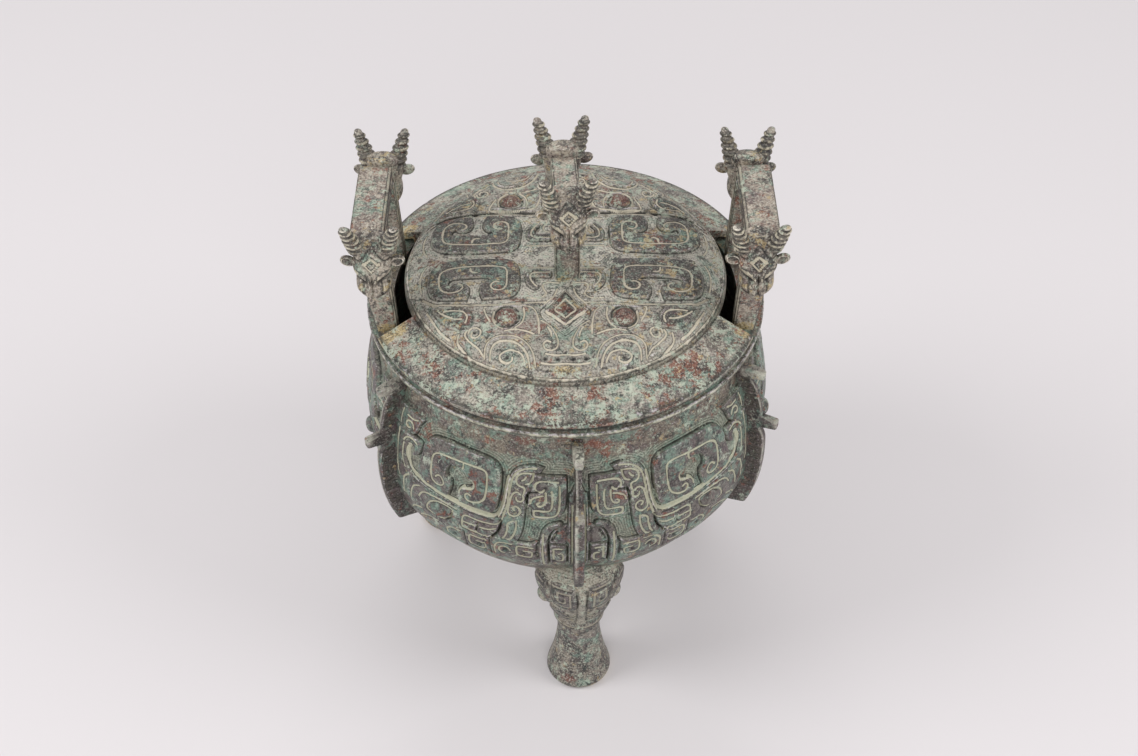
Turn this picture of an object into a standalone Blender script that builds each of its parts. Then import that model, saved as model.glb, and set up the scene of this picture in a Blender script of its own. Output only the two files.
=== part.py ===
"""Bronze ding: a hollow tripod vessel and its lift-off lid, in metres, +Z up.

The ears stand on the X axis. The legs, the six flanges and the loop handle of
the lid are each turned a few degrees from them, as cast.
"""

from math import cos, hypot, pi, radians, sin

import bmesh
import bpy
from mathutils import Matrix, Vector

# Driving dimensions
LID_RADIUS = 0.1000
LID_EDGE_HEIGHT = 0.2170
LID_EDGE_THICKNESS = 0.0035
SEAT_GAP = 0.0003
RIM_HEIGHT = LID_EDGE_HEIGHT - LID_EDGE_THICKNESS - SEAT_GAP
MOUTH_RADIUS = 0.0872
WALL = 0.0032
TURN_STEPS = 42

# Turns about the vertical axis, counterclockwise from above
LEG_TURN = radians(4.4)
FLANGE_TURN = radians(3.2)
HANDLE_TURN = radians(3.8)

# Body profile as (height over the lid's edge, radius), from the rim's underside down
BELLY_STATIONS = (
    (-0.0105, 0.0955),
    (-0.0150, 0.0945),
    (-0.0195, 0.0946),
    (-0.0300, 0.0975),
    (-0.0430, 0.1010),
    (-0.0580, 0.1033),
    (-0.0750, 0.1044),
    (-0.0900, 0.1034),
    (-0.1020, 0.0995),
    (-0.1130, 0.0940),
    (-0.1240, 0.0860),
    (-0.1345, 0.0740),
    (-0.1430, 0.0580),
    (-0.1500, 0.0350),
    (-0.1530, 0.0000),
)

# Lid profile as (radius, height over the lid's edge): a flat dome, then a sloping border
LID_STATIONS = (
    (0.0000, 0.0180),
    (0.0300, 0.0177),
    (0.0520, 0.0168),
    (0.0650, 0.0155),
    (0.0720, 0.0138),
    (0.0775, 0.0110),
    (0.0808, 0.0076),
    (0.1000, 0.0000),
)
SPIGOT_RADIUS = 0.0862
SPIGOT_WALL = 0.0027
SPIGOT_DEPTH = 0.0080

# Notches of the lid around the ears
NOTCH_HALF_ANGLE = radians(23.5)
NOTCH_RADIUS = 0.0812

# Three legs, as (height, radius) from the sole up
LEG_COUNT = 3
LEG_CIRCLE = 0.0800
LEG_SIDES = 12
LEG_STATIONS = (
    (0.0000, 0.0166),
    (0.0030, 0.0178),
    (0.0110, 0.0160),
    (0.0210, 0.0137),
    (0.0370, 0.0116),
    (0.0490, 0.0124),
    (0.0510, 0.0137),
    (0.0545, 0.0137),
    (0.0565, 0.0132),
    (0.0650, 0.0168),
    (0.0770, 0.0204),
    (0.0870, 0.0228),
    (0.0950, 0.0225),
    (0.1020, 0.0195),
    (0.1080, 0.0130),
)

# Flanges: fins of one thickness, each with a hook at the neck and a peg on the belly
FLANGE_COUNT = 6
FIN_THICKNESS = 0.0042
FIN_EDGE = 0.1140
FIN_MIDDLE = -0.0720
FIN_BOW = 3.55
FIN_TOP = -0.0178
FIN_FOOT = -0.1150
HOOK_HEIGHT = -0.0178
HOOK_REACH = 0.1090
HOOK_SIZE = 0.0052
PEG_HEIGHT = -0.0485
PEG_REACH = 0.1195
PEG_SIZE = 0.0066

# Ears on the rim, with their inner and outer faces at the foot and at the top
EAR_HALF_SPAN = 0.0310
EAR_RISE = 0.0560
EAR_BAND = 0.0090
EAR_FOOT_X = (0.0828, 0.0930)
EAR_TOP_X = (0.0855, 0.1020)
EAR_HEAD_X = 0.0908

# Loop handle of the lid
HANDLE_HALF_SPAN = 0.0175
HANDLE_RISE = 0.0705
HANDLE_BAND = 0.0072
HANDLE_HALF_WIDTH = 0.0063

# Ram's head, as (height under the crown, half width, front over the post's face)
SKULL_SIDES = 8
SKULL_BACK = -0.0056
SKULL_STATIONS = (
    (0.0000, 0.0070, 0.0000),
    (-0.0050, 0.0080, 0.0045),
    (-0.0110, 0.0084, 0.0082),
    (-0.0160, 0.0078, 0.0092),
    (-0.0205, 0.0072, 0.0086),
    (-0.0250, 0.0044, 0.0060),
    (-0.0272, 0.0030, 0.0030),
)
HORN_FOOT = (0.0062, -0.0010, -0.0062)
HORN_TIP = (0.0113, 0.0061, 0.0127)
HORN_RADII = (0.0038, 0.0030, 0.0015)
LEAF_EAR_PLACE = (0.0112, 0.0012, -0.0108)
LEAF_EAR_SIZE = (0.0042, 0.0018, 0.0030)

# Raised relief of half a mask on the belly: turn from the flange and height, and the rise
BELLY_PLATES = (
    ("horn_plate", 21.0, 50.0, -0.0625, -0.0315, 0.0020, 4, 2),
    ("scroll_plate", 5.0, 14.0, -0.0605, -0.0355, 0.0014, 2, 2),
    ("brow_plate", 22.0, 35.5, -0.0785, -0.0685, 0.0012, 2, 1),
    ("nostril_plate", 2.8, 10.5, -0.0930, -0.0620, 0.0018, 2, 2),
)
BELLY_EYE = (41.0, -0.0745, 0.0052, 0.0022)

# Raised relief of a quarter of the lid: corners of the horn plate, and the eye
LID_PLATE = (0.0215, 0.0680, 0.0035, 0.0315, 0.0018)
LID_EYE = (0.0300, 0.0425, 0.0050, 0.0024)

BRONZE = {
    "vessel": ((0.19, 0.20, 0.17), 0.62, 0.45),
    "lid": ((0.22, 0.23, 0.19), 0.60, 0.45),
}


def clear_scene():
    for thing in list(bpy.data.objects):
        bpy.data.objects.remove(thing, do_unlink=True)


def bronze(name):
    colour, roughness, metallic = BRONZE[name]
    material = bpy.data.materials.new("bronze_" + name)
    material.use_nodes = True
    shader = material.node_tree.nodes["Principled BSDF"]
    shader.inputs["Base Color"].default_value = (*colour, 1.0)
    shader.inputs["Roughness"].default_value = roughness
    shader.inputs["Metallic"].default_value = metallic
    return material


def interpolate(stations, x):
    """Straight interpolation in a table whose first column rises or falls steadily."""
    rows = stations if stations[-1][0] > stations[0][0] else stations[::-1]
    for (x0, y0), (x1, y1) in zip(rows, rows[1:]):
        if x <= x1:
            return y0 + (y1 - y0) * max(x - x0, 0.0) / (x1 - x0)
    return rows[-1][1]


def belly_radius(height):
    """Outer radius of the body at a height over the lid's edge."""
    return interpolate(BELLY_STATIONS, height)


def dome_height(radius):
    """Height of the lid's top over its edge."""
    return interpolate(LID_STATIONS, radius)


def link(name, mesh):
    thing = bpy.data.objects.new(name, mesh)
    bpy.context.scene.collection.objects.link(thing)
    return thing


def object_from(name, form):
    bmesh.ops.recalc_face_normals(form, faces=form.faces)
    mesh = bpy.data.meshes.new(name)
    form.to_mesh(mesh)
    form.free()
    return link(name, mesh)


def applied(thing):
    """Bakes the modifiers of an object into its mesh."""
    bpy.context.view_layer.update()
    graph = bpy.context.evaluated_depsgraph_get()
    mesh = bpy.data.meshes.new_from_object(thing.evaluated_get(graph))
    thing.modifiers.clear()
    thing.data = mesh
    return thing


def combined(target, tool, operation="UNION"):
    """Unites a form with the target, or cuts it away, and removes the form."""
    boolean = target.modifiers.new(operation.lower(), "BOOLEAN")
    boolean.operation = operation
    boolean.solver = "EXACT"
    boolean.object = tool
    tool.hide_render = True
    tool.display_type = "WIRE"
    applied(target)
    bpy.data.objects.remove(tool, do_unlink=True)
    return target


def gathered(name, things):
    """One object that holds several closed forms that don't touch."""
    form = bmesh.new()
    for thing in things:
        form.from_mesh(thing.data)
        bpy.data.objects.remove(thing, do_unlink=True)
    return object_from(name, form)


def turned_copies(name, source, count, first=0.0):
    """Copies of a form around the vertical axis, as one object."""
    form = bmesh.new()
    for index in range(count):
        copy = source.data.copy()
        copy.transform(Matrix.Rotation(first + 2 * pi * index / count, 4, "Z"))
        form.from_mesh(copy)
    bpy.data.objects.remove(source, do_unlink=True)
    return object_from(name, form)


def revolved(name, profile):
    """Turns a profile of (radius, height) points, run top to bottom on its outer side."""
    form = bmesh.new()
    corners = [form.verts.new((radius, 0.0, height)) for radius, height in profile]
    for first, second in zip(corners, corners[1:]):
        form.edges.new((first, second))
    mesh = bpy.data.meshes.new(name)
    form.to_mesh(mesh)
    form.free()
    thing = link(name, mesh)
    screw = thing.modifiers.new("turn", "SCREW")
    screw.steps = TURN_STEPS
    screw.render_steps = TURN_STEPS
    screw.use_merge_vertices = True
    screw.merge_threshold = 0.00001
    screw.use_normal_calculate = True
    return applied(thing)


def sheet(columns, rows, place):
    """A grid laid out by a rule of its two parameters, each from 0 to 1."""
    form = bmesh.new()
    bmesh.ops.create_grid(form, x_segments=columns, y_segments=rows, size=0.5)
    for vertex in form.verts:
        vertex.co = place(vertex.co.x + 0.5, vertex.co.y + 0.5)
    return form


def slab(name, columns, rows, place, thickness):
    """A sheet thickened by half its thickness to each side."""
    thing = object_from(name, sheet(columns, rows, place))
    solid = thing.modifiers.new("thickness", "SOLIDIFY")
    solid.thickness = thickness
    solid.offset = 0.0
    return applied(thing)


def tube(name, sides, rings):
    """A closed form through rings of (x, y, height, half width, half depth)."""

    def place(turn, level):
        x, y, height, half_width, half_depth = rings[round(level * (len(rings) - 1))]
        angle = 2 * pi * turn
        return (x + half_width * cos(angle), y + half_depth * sin(angle), height)

    form = sheet(sides, len(rings) - 1, place)
    bmesh.ops.remove_doubles(form, verts=form.verts, dist=0.00001)
    bmesh.ops.holes_fill(form, edges=form.edges, sides=sides)
    return object_from(name, form)


def boss(name, place, size, steps=8):
    """A flattened ball of (x, y, z) half sizes at a place."""
    form = bmesh.new()
    bmesh.ops.create_uvsphere(form, u_segments=steps, v_segments=steps // 2, radius=1.0)
    bmesh.ops.scale(form, vec=size, verts=form.verts)
    bmesh.ops.translate(form, vec=place, verts=form.verts)
    return object_from(name, form)


def rounded(u, v, fullness=0.35):
    """Moves the parameters of a sheet so that its corners are rounded."""
    a = 2 * u - 1
    b = 2 * v - 1
    return (1 + a * (1 - fullness * b * b / 2)) / 2, (1 + b * (1 - fullness * a * a / 2)) / 2


def on_belly(turn, height, rise):
    """A point over the belly at a turn from the flange that faces -Y."""
    radius = belly_radius(height) + rise
    return (radius * sin(turn), -radius * cos(turn), LID_EDGE_HEIGHT + height)


def on_lid(x, y, rise):
    return (x, y, LID_EDGE_HEIGHT + dome_height(hypot(x, y)) + rise)


# Body


def body_profile():
    rim = [
        (0.0, RIM_HEIGHT),
        (0.0995, RIM_HEIGHT),
        (0.1008, RIM_HEIGHT - 0.0012),
        (0.1008, RIM_HEIGHT - 0.0034),
        (0.0995, RIM_HEIGHT - 0.0050),
    ]
    return rim + [(radius, LID_EDGE_HEIGHT + height) for height, radius in BELLY_STATIONS]


def inward(profile, distance):
    """Moves each point of a profile to its inner side, square to its neighbours."""
    points = []
    for index, (radius, height) in enumerate(profile):
        before = profile[max(index - 1, 0)]
        after = profile[min(index + 1, len(profile) - 1)]
        if radius == 0.0:
            points.append((0.0, height + distance))
            continue
        run = Vector((after[0] - before[0], after[1] - before[1])).normalized()
        points.append((radius + run.y * distance, height - run.x * distance))
    return points


def cavity_profile():
    wall = [(radius, LID_EDGE_HEIGHT + height) for height, radius in BELLY_STATIONS]
    inside = inward(wall, WALL)
    mouth = [
        (0.0, RIM_HEIGHT + 0.0100),
        (MOUTH_RADIUS, RIM_HEIGHT + 0.0100),
        (MOUTH_RADIUS, RIM_HEIGHT - 0.0050),
    ]
    return mouth + inside[1:-2:2] + inside[-2:]


def belly_plate(name, turn_0, turn_1, low, high, rise, columns, rows):
    """A raised plate that follows the belly, with its foot inside the wall."""
    depth = rise + 0.0016

    def place(u, v):
        u, v = rounded(u, v)
        turn = radians(turn_0 + (turn_1 - turn_0) * u)
        return on_belly(turn, low + (high - low) * v, rise - depth / 2)

    return slab(name, columns, rows, place, depth)


def belly_eye():
    turn, height, radius, rise = BELLY_EYE
    place = on_belly(0.0, height, -0.0004)
    eye = boss("eye", place, (radius, rise, radius), 8)
    eye.data.transform(Matrix.Rotation(radians(turn), 4, "Z"))
    return eye


def belly_relief():
    """Three masks, each of two mirrored halves about the flange over a leg."""
    half = [belly_plate(*row) for row in BELLY_PLATES] + [belly_eye()]
    form = bmesh.new()
    for thing in half:
        form.from_mesh(thing.data)
        thing.data.transform(Matrix.Scale(-1, 4, (1, 0, 0)))
        form.from_mesh(thing.data)
        bpy.data.objects.remove(thing, do_unlink=True)
    mask = object_from("mask", form)
    return turned_copies("masks", mask, LEG_COUNT, FLANGE_TURN)


# Legs


def leg():
    rings = [(0.0, -LEG_CIRCLE, height, radius, radius) for height, radius in LEG_STATIONS]
    shaft = tube("leg", LEG_SIDES, rings)
    for side in (-1, 1):
        place = (side * 0.0158, -LEG_CIRCLE - 0.0020, 0.0650)
        combined(shaft, boss("leaf_ear", place, (0.0044, 0.0030, 0.0046), 6))
    nose = [
        (0.0, -LEG_CIRCLE - interpolate(LEG_STATIONS, height), height, 0.0026, 0.0024)
        for height in (0.0560, 0.0650, 0.0780, 0.0900)
    ]
    return combined(shaft, tube("nose", 4, nose))


# Flanges


def fin():
    """One fin in the plane over the -Y side: blade, hook and peg."""
    levels = 6

    def blade(u, v):
        height = FIN_FOOT + (FIN_TOP - FIN_FOOT) * v
        inner = belly_radius(height) - 0.0016
        outer = FIN_EDGE - FIN_BOW * (height - FIN_MIDDLE) ** 2
        slant = 0.0036 * u * (1 - v) ** 6
        return (0.0, -inner - (outer - inner) * u, LID_EDGE_HEIGHT + height + slant)

    form = slab("fin", 1, levels, blade, FIN_THICKNESS)
    for height, reach, size in (
        (HOOK_HEIGHT, HOOK_REACH, HOOK_SIZE),
        (PEG_HEIGHT, PEG_REACH, PEG_SIZE),
    ):
        root = belly_radius(height) - 0.0012
        rings = [
            (0.0, LID_EDGE_HEIGHT + height, -root, FIN_THICKNESS * 0.56, size * 0.50),
            (0.0, LID_EDGE_HEIGHT + height, -reach + 0.0015, FIN_THICKNESS * 0.56, size * 0.50),
            (0.0, LID_EDGE_HEIGHT + height, -reach, FIN_THICKNESS * 0.42, size * 0.34),
        ]
        bar = tube("bar", 6, rings)
        for vertex in bar.data.vertices:
            x, along, out = vertex.co
            vertex.co = (x, out, along)
        bar.data.flip_normals()
        combined(form, bar)
    return form


# Loops and ram's heads


def loop(name, half_span, rise, band, foot_x, top_x):
    """A square-shouldered loop in the Y-Z plane that stands on z = 0."""
    corner = band + 0.0012
    post = rise - corner
    bend = pi / 2 * corner
    bar = 2 * (half_span - corner)
    length = 2 * post + 2 * bend + bar
    stops = [0.0, 0.30 * post, 0.65 * post, post]
    stops += [post + bend * step / 3 for step in (1, 2, 3)]
    stops += [length / 2]
    stops += [length - stop for stop in reversed(stops[:-1])]

    def point(travel, inset):
        side = 1 if travel <= length / 2 else -1
        run = min(travel, length - travel)
        if run <= post:
            return side * (half_span - inset), run
        if run <= post + bend:
            angle = (run - post) / corner
            reach = corner - inset
            return side * (half_span - corner + reach * cos(angle)), post + reach * sin(angle)
        along = run - post - bend
        return side * (half_span - corner - along), rise - inset

    def place(u, v):
        y, z = point(stops[round(u * (len(stops) - 1))], band * (1 - v))
        return (0.0, y, z)

    strap = slab(name, len(stops) - 1, 1, place, 0.0100)
    for vertex in strap.data.vertices:
        share = vertex.co.z / rise
        side = 0 if vertex.co.x < 0 else 1
        vertex.co.x = foot_x[side] + (top_x[side] - foot_x[side]) * share
    return strap


def horn(side):
    foot = Vector(HORN_FOOT)
    tip = Vector(HORN_TIP)
    rings = []
    for step, radius in enumerate(HORN_RADII):
        x, y, z = foot.lerp(tip, step / (len(HORN_RADII) - 1))
        rings.append((side * x, y, z, radius, radius))
    return tube("horn", 6, rings)


def ram_head():
    """A head that faces +Y, with its crown at the origin and its back in the post."""
    rings = []
    for height, half_width, front in SKULL_STATIONS:
        middle = (front + SKULL_BACK) / 2
        rings.append((0.0, middle, height, half_width, (front - SKULL_BACK) / 2))
    head = tube("head", SKULL_SIDES, rings)
    for side in (-1, 1):
        combined(head, horn(side))
        leaf = boss("leaf_ear", (0.0, 0.0, 0.0), LEAF_EAR_SIZE, 6)
        leaf.data.transform(Matrix.Rotation(side * radians(-18), 4, "Y"))
        x, y, z = LEAF_EAR_PLACE
        leaf.data.transform(Matrix.Translation((side * x, y, z)))
        combined(head, leaf)
    form = bmesh.new()
    bmesh.ops.create_cone(
        form, cap_ends=True, segments=4, radius1=0.0056, radius2=0.0044, depth=0.0020
    )
    diamond = object_from("diamond", form)
    diamond.data.transform(Matrix.Rotation(radians(-56), 4, "X"))
    diamond.data.transform(Matrix.Translation((0.0, 0.0068, -0.0085)))
    return combined(head, diamond)


def head_copy(head, x, y, z):
    """A head at the front or the back of a loop, facing away from its middle."""
    copy = link("head", head.data.copy())
    turn = 0.0 if y > 0 else pi
    copy.data.transform(Matrix.Rotation(turn, 4, "Z"))
    copy.data.transform(Matrix.Translation((x, y, z)))
    return copy


def ear(side, head):
    """An upright ear with a ram's head on each shoulder."""
    strap = loop("ear", EAR_HALF_SPAN, EAR_RISE + 0.0060, EAR_BAND, EAR_FOOT_X, EAR_TOP_X)
    strap.data.transform(Matrix.Translation((0.0, 0.0, LID_EDGE_HEIGHT - 0.0060)))
    top = LID_EDGE_HEIGHT + EAR_RISE - 0.0004
    for front in (-1, 1):
        combined(strap, head_copy(head, EAR_HEAD_X, front * EAR_HALF_SPAN, top))
    if side < 0:
        strap.data.transform(Matrix.Scale(-1, 4, (1, 0, 0)))
        strap.data.flip_normals()
    return strap


# Pieces


def vessel(head):
    body = revolved("vessel", body_profile())
    combined(body, belly_relief())
    combined(body, turned_copies("fins", fin(), FLANGE_COUNT, FLANGE_TURN))
    combined(body, turned_copies("legs", leg(), LEG_COUNT, LEG_TURN))
    combined(body, revolved("cavity", cavity_profile()), "DIFFERENCE")
    return combined(body, gathered("ears", [ear(side, head) for side in (-1, 1)]))


def lid_profile():
    edge = LID_EDGE_HEIGHT
    seat = edge - LID_EDGE_THICKNESS
    top = [(radius, edge + height) for radius, height in LID_STATIONS]
    inner = SPIGOT_RADIUS - SPIGOT_WALL
    under = [
        (LID_RADIUS, seat),
        (0.0975, seat),
        (0.0930, seat + 0.0024),
        (SPIGOT_RADIUS + 0.0010, seat + 0.0046),
        (SPIGOT_RADIUS, seat + 0.0040),
        (SPIGOT_RADIUS, seat - SPIGOT_DEPTH),
        (inner, seat - SPIGOT_DEPTH),
        (inner, seat + 0.0070),
    ]
    dome = [(radius, edge + height - WALL) for radius, height in LID_STATIONS[:-2:2]]
    return top + under + dome[::-1]


def notch(side):
    """A sector cut out of the border around an ear."""

    def place(u, v):
        radius = NOTCH_RADIUS if v < 0.5 else LID_RADIUS + 0.0100
        angle = NOTCH_HALF_ANGLE * (2 * u - 1)
        return (side * radius * cos(angle), radius * sin(angle), LID_EDGE_HEIGHT)

    return slab("notch", 7, 1, place, 0.0600)


def lid_plate():
    x0, x1, y0, y1, rise = LID_PLATE
    depth = rise + 0.0014

    def place(u, v):
        u, v = rounded(u, v)
        return on_lid(x0 + (x1 - x0) * u, y0 + (y1 - y0) * v, rise - depth / 2)

    return slab("lid_plate", 4, 2, place, depth)


def lid_eye():
    x, y, radius, rise = LID_EYE
    return boss("lid_eye", on_lid(x, y, -0.0003), (radius, radius, rise))


def lid_relief():
    """Two masks that face away from each other, each of two mirrored halves."""
    form = bmesh.new()
    for thing in (lid_plate(), lid_eye()):
        for axis in ((1, 0, 0), (0, 1, 0), (1, 0, 0), (0, 1, 0)):
            form.from_mesh(thing.data)
            thing.data.transform(Matrix.Scale(-1, 4, axis))
        bpy.data.objects.remove(thing, do_unlink=True)
    return object_from("lid_relief", form)


def handle(head):
    width = HANDLE_HALF_WIDTH
    base = dome_height(HANDLE_HALF_SPAN) - 0.0016
    rise = HANDLE_RISE - base
    strap = loop("handle", HANDLE_HALF_SPAN, rise, HANDLE_BAND, (-width, width), (-width, width))
    strap.data.transform(Matrix.Translation((0.0, 0.0, LID_EDGE_HEIGHT + base)))
    top = LID_EDGE_HEIGHT + HANDLE_RISE - 0.0004
    for front in (-1, 1):
        combined(strap, head_copy(head, 0.0, front * HANDLE_HALF_SPAN, top))
    strap.data.transform(Matrix.Rotation(HANDLE_TURN, 4, "Z"))
    return strap


def lid(head):
    disc = revolved("lid", lid_profile())
    combined(disc, gathered("notches", [notch(side) for side in (-1, 1)]), "DIFFERENCE")
    combined(disc, lid_relief())
    return combined(disc, handle(head))


def finished(thing):
    thing.data.materials.clear()
    thing.data.materials.append(bronze(thing.name))
    thing.data.shade_smooth()
    thing.data.set_sharp_from_angle(angle=radians(32))


def main():
    clear_scene()
    head = ram_head()
    pieces = [vessel(head), lid(head)]
    bpy.data.objects.remove(head, do_unlink=True)
    for piece in pieces:
        finished(piece)


main()
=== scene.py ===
from math import cos, hypot, pi, radians, sin
from statistics import NormalDist

import bmesh
import bpy
import numpy as np
from mathutils import Matrix, Vector


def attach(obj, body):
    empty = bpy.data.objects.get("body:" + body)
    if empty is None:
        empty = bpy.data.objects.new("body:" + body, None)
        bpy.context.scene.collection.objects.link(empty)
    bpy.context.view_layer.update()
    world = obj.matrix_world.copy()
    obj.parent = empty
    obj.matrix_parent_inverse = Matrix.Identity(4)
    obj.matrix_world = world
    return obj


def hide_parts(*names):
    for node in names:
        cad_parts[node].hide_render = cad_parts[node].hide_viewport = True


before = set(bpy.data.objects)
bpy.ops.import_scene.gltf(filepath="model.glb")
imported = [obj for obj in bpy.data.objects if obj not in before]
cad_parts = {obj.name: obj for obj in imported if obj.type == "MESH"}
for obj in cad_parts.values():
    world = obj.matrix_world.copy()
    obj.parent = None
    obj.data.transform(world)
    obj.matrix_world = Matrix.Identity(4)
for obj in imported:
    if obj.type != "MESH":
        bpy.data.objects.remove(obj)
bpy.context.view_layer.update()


# Floor, light and camera. A pale seamless floor under broad soft lamps, seen from
# the front and well above, as small bronzes are photographed.

PICTURE_WIDTH = 1138
FOCAL_PIXELS = 1580.0
SENSOR_WIDTH = 36.0
CAMERA_REACH = 0.8497
CAMERA_RISE = radians(44.75)
CAMERA_ROLL = radians(-0.29)
CAMERA_TARGET = Vector((0.00154, 0.0, 0.1492))
FLOOR_COLOUR = (0.694, 0.665, 0.677)
FLOOR_ROUGHNESS = 0.9
FLOOR_SIZE = 9.0
LAMPS = (
    ("lamp_left", (-1.45, -0.30, 1.40), 1.00, 15.2),
    ("lamp_right", (1.45, -0.35, 1.35), 1.00, 12.4),
    ("lamp_front", (0.10, -1.55, 1.05), 1.20, 9.0),
    ("lamp_back", (-0.10, 1.30, 1.75), 1.20, 8.0),
)
SKY_COLOUR = (1.0, 0.985, 0.99, 1.0)
SKY_STRENGTH = 0.51


def link(name, data):
    thing = bpy.data.objects.new(name, data)
    bpy.context.scene.collection.objects.link(thing)
    return thing


def meshed(name, form):
    """Ends the work on a form and keeps it as a mesh."""
    mesh = bpy.data.meshes.new(name)
    form.to_mesh(mesh)
    form.free()
    return mesh


view = Vector((0.0, cos(CAMERA_RISE), -sin(CAMERA_RISE)))
camera = link("camera", bpy.data.cameras.new("camera"))
camera.data.sensor_width = SENSOR_WIDTH
camera.data.lens = FOCAL_PIXELS * SENSOR_WIDTH / PICTURE_WIDTH
camera.data.clip_start = 0.01
camera.matrix_world = (
    Matrix.Translation(CAMERA_TARGET - view * CAMERA_REACH)
    @ (-view).to_track_quat("Z", "Y").to_matrix().to_4x4()
    @ Matrix.Rotation(CAMERA_ROLL, 4, "Z")
)
bpy.context.scene.camera = camera
bpy.context.scene.view_settings.view_transform = "Standard"

for name, place, size, power in LAMPS:
    lamp = link(name, bpy.data.lights.new(name, "AREA"))
    lamp.data.shape = "DISK"
    lamp.data.size = size
    lamp.data.energy = power
    lamp.location = place
    lamp.rotation_euler = (Vector(place) - CAMERA_TARGET).to_track_quat("Z", "Y").to_euler()

sky = bpy.data.worlds.new("sky")
bpy.context.scene.world = sky
sky.use_nodes = True
glow = sky.node_tree.nodes["Background"].inputs
glow["Color"].default_value = SKY_COLOUR
glow["Strength"].default_value = SKY_STRENGTH

form = bmesh.new()
bmesh.ops.create_grid(form, x_segments=1, y_segments=1, size=FLOOR_SIZE / 2)
floor = link("floor", meshed("floor", form))
paper = bpy.data.materials.new("floor_paper")
paper.use_nodes = True
matte = paper.node_tree.nodes["Principled BSDF"].inputs
matte["Base Color"].default_value = (*FLOOR_COLOUR, 1)
matte["Roughness"].default_value = FLOOR_ROUGHNESS
floor.data.materials.append(paper)


# The body, a bronze cast against three outer moulds that meet at three of the flanges.
# Each third carries one mask of raised plates and incised lines over a hatched ground; the
# rim, the plain neck and the round bottom are part of the same casting.

# sizes are in millimetres, and a drop is measured down from the lid's edge
MM = 0.001
EDGE = 217.0
MOUTH_STEPS = ((87.2, 8.8), (91.4, 11.4))
WALL = 3.2
FLANGE_TURN = radians(3.2)
BODY_MM_PER_DEGREE = 1.8
# the band of the masks, where it ends, how it fades at both ends, and how deep it is
RELIEF_DROPS = (27.0, 100.5)
RELIEF_END = 101.5
RELIEF_FADES = (0.9, 3.0)
RELIEF_DEPTH = 1.35
# what counts as the outer side, and the rows of the mesh
OUTER_SKIN = 1.2
SKIN_DROPS = (12.0, 130.0)
COLUMNS = 408
ROW_STEP = 0.52
NECK_STEP = 0.85
BOTTOM_DROP = 153.0
INNER_DROPS = (15, 20, 28, 40, 56, 72, 88, 100, 111, 121, 131, 139, 146, 151)
RIM_PROFILE = (
    (87.2, 3.8), (91, 3.8), (95, 3.8), (97.2, 3.9), (98, 4.6), (98.8, 5.3), (99.4, 5.3), (100.3, 5.1),
    (100.8, 5.6), (100.8, 6.8), (100.6, 7.8), (100, 8.6), (98.8, 9.3), (97, 10), (95.6, 10.8),
)
BODY_PROFILE = (
    (10.8, 95.6), (15, 94.5), (18.6, 94.7), (19.6, 95.4), (20.6, 95.2), (26.4, 96.3), (30, 97.4),
    (43, 101), (58, 103.3), (75, 104.4), (90, 103.4), (102, 99.5), (113, 94), (124, 86), (134.5, 74),
    (143, 58), (150, 35), (BOTTOM_DROP, 0),
)


def eased(share):
    """A step from 0 to 1 with a soft start and end."""
    share = np.clip(share, 0.0, 1.0)
    return share * share * (3.0 - 2.0 * share)


def hump(away, width):
    """1 in the middle, falling off softly to both sides."""
    return np.exp(-((away / width) ** 2))


def curve(points, closed=False, steps=5):
    """A smooth line through a few points. A doubled point makes a corner."""
    given = [np.array(point, float) for point in points]
    ring = [given[-1], *given, given[0], given[1]] if closed else [given[0], *given, given[-1]]
    line = []
    for before, start, end, after in zip(ring, ring[1:], ring[2:], ring[3:]):
        for step in range(steps):
            t = step / steps
            line.append(
                start
                + 0.5 * t * (end - before)
                + t * t * (before - 2.5 * start + 2.0 * end - 0.5 * after)
                + t * t * t * 0.5 * (after - before + 3.0 * (start - end))
            )
    if not closed:
        line.append(given[-1])
    return np.array(line)


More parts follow.
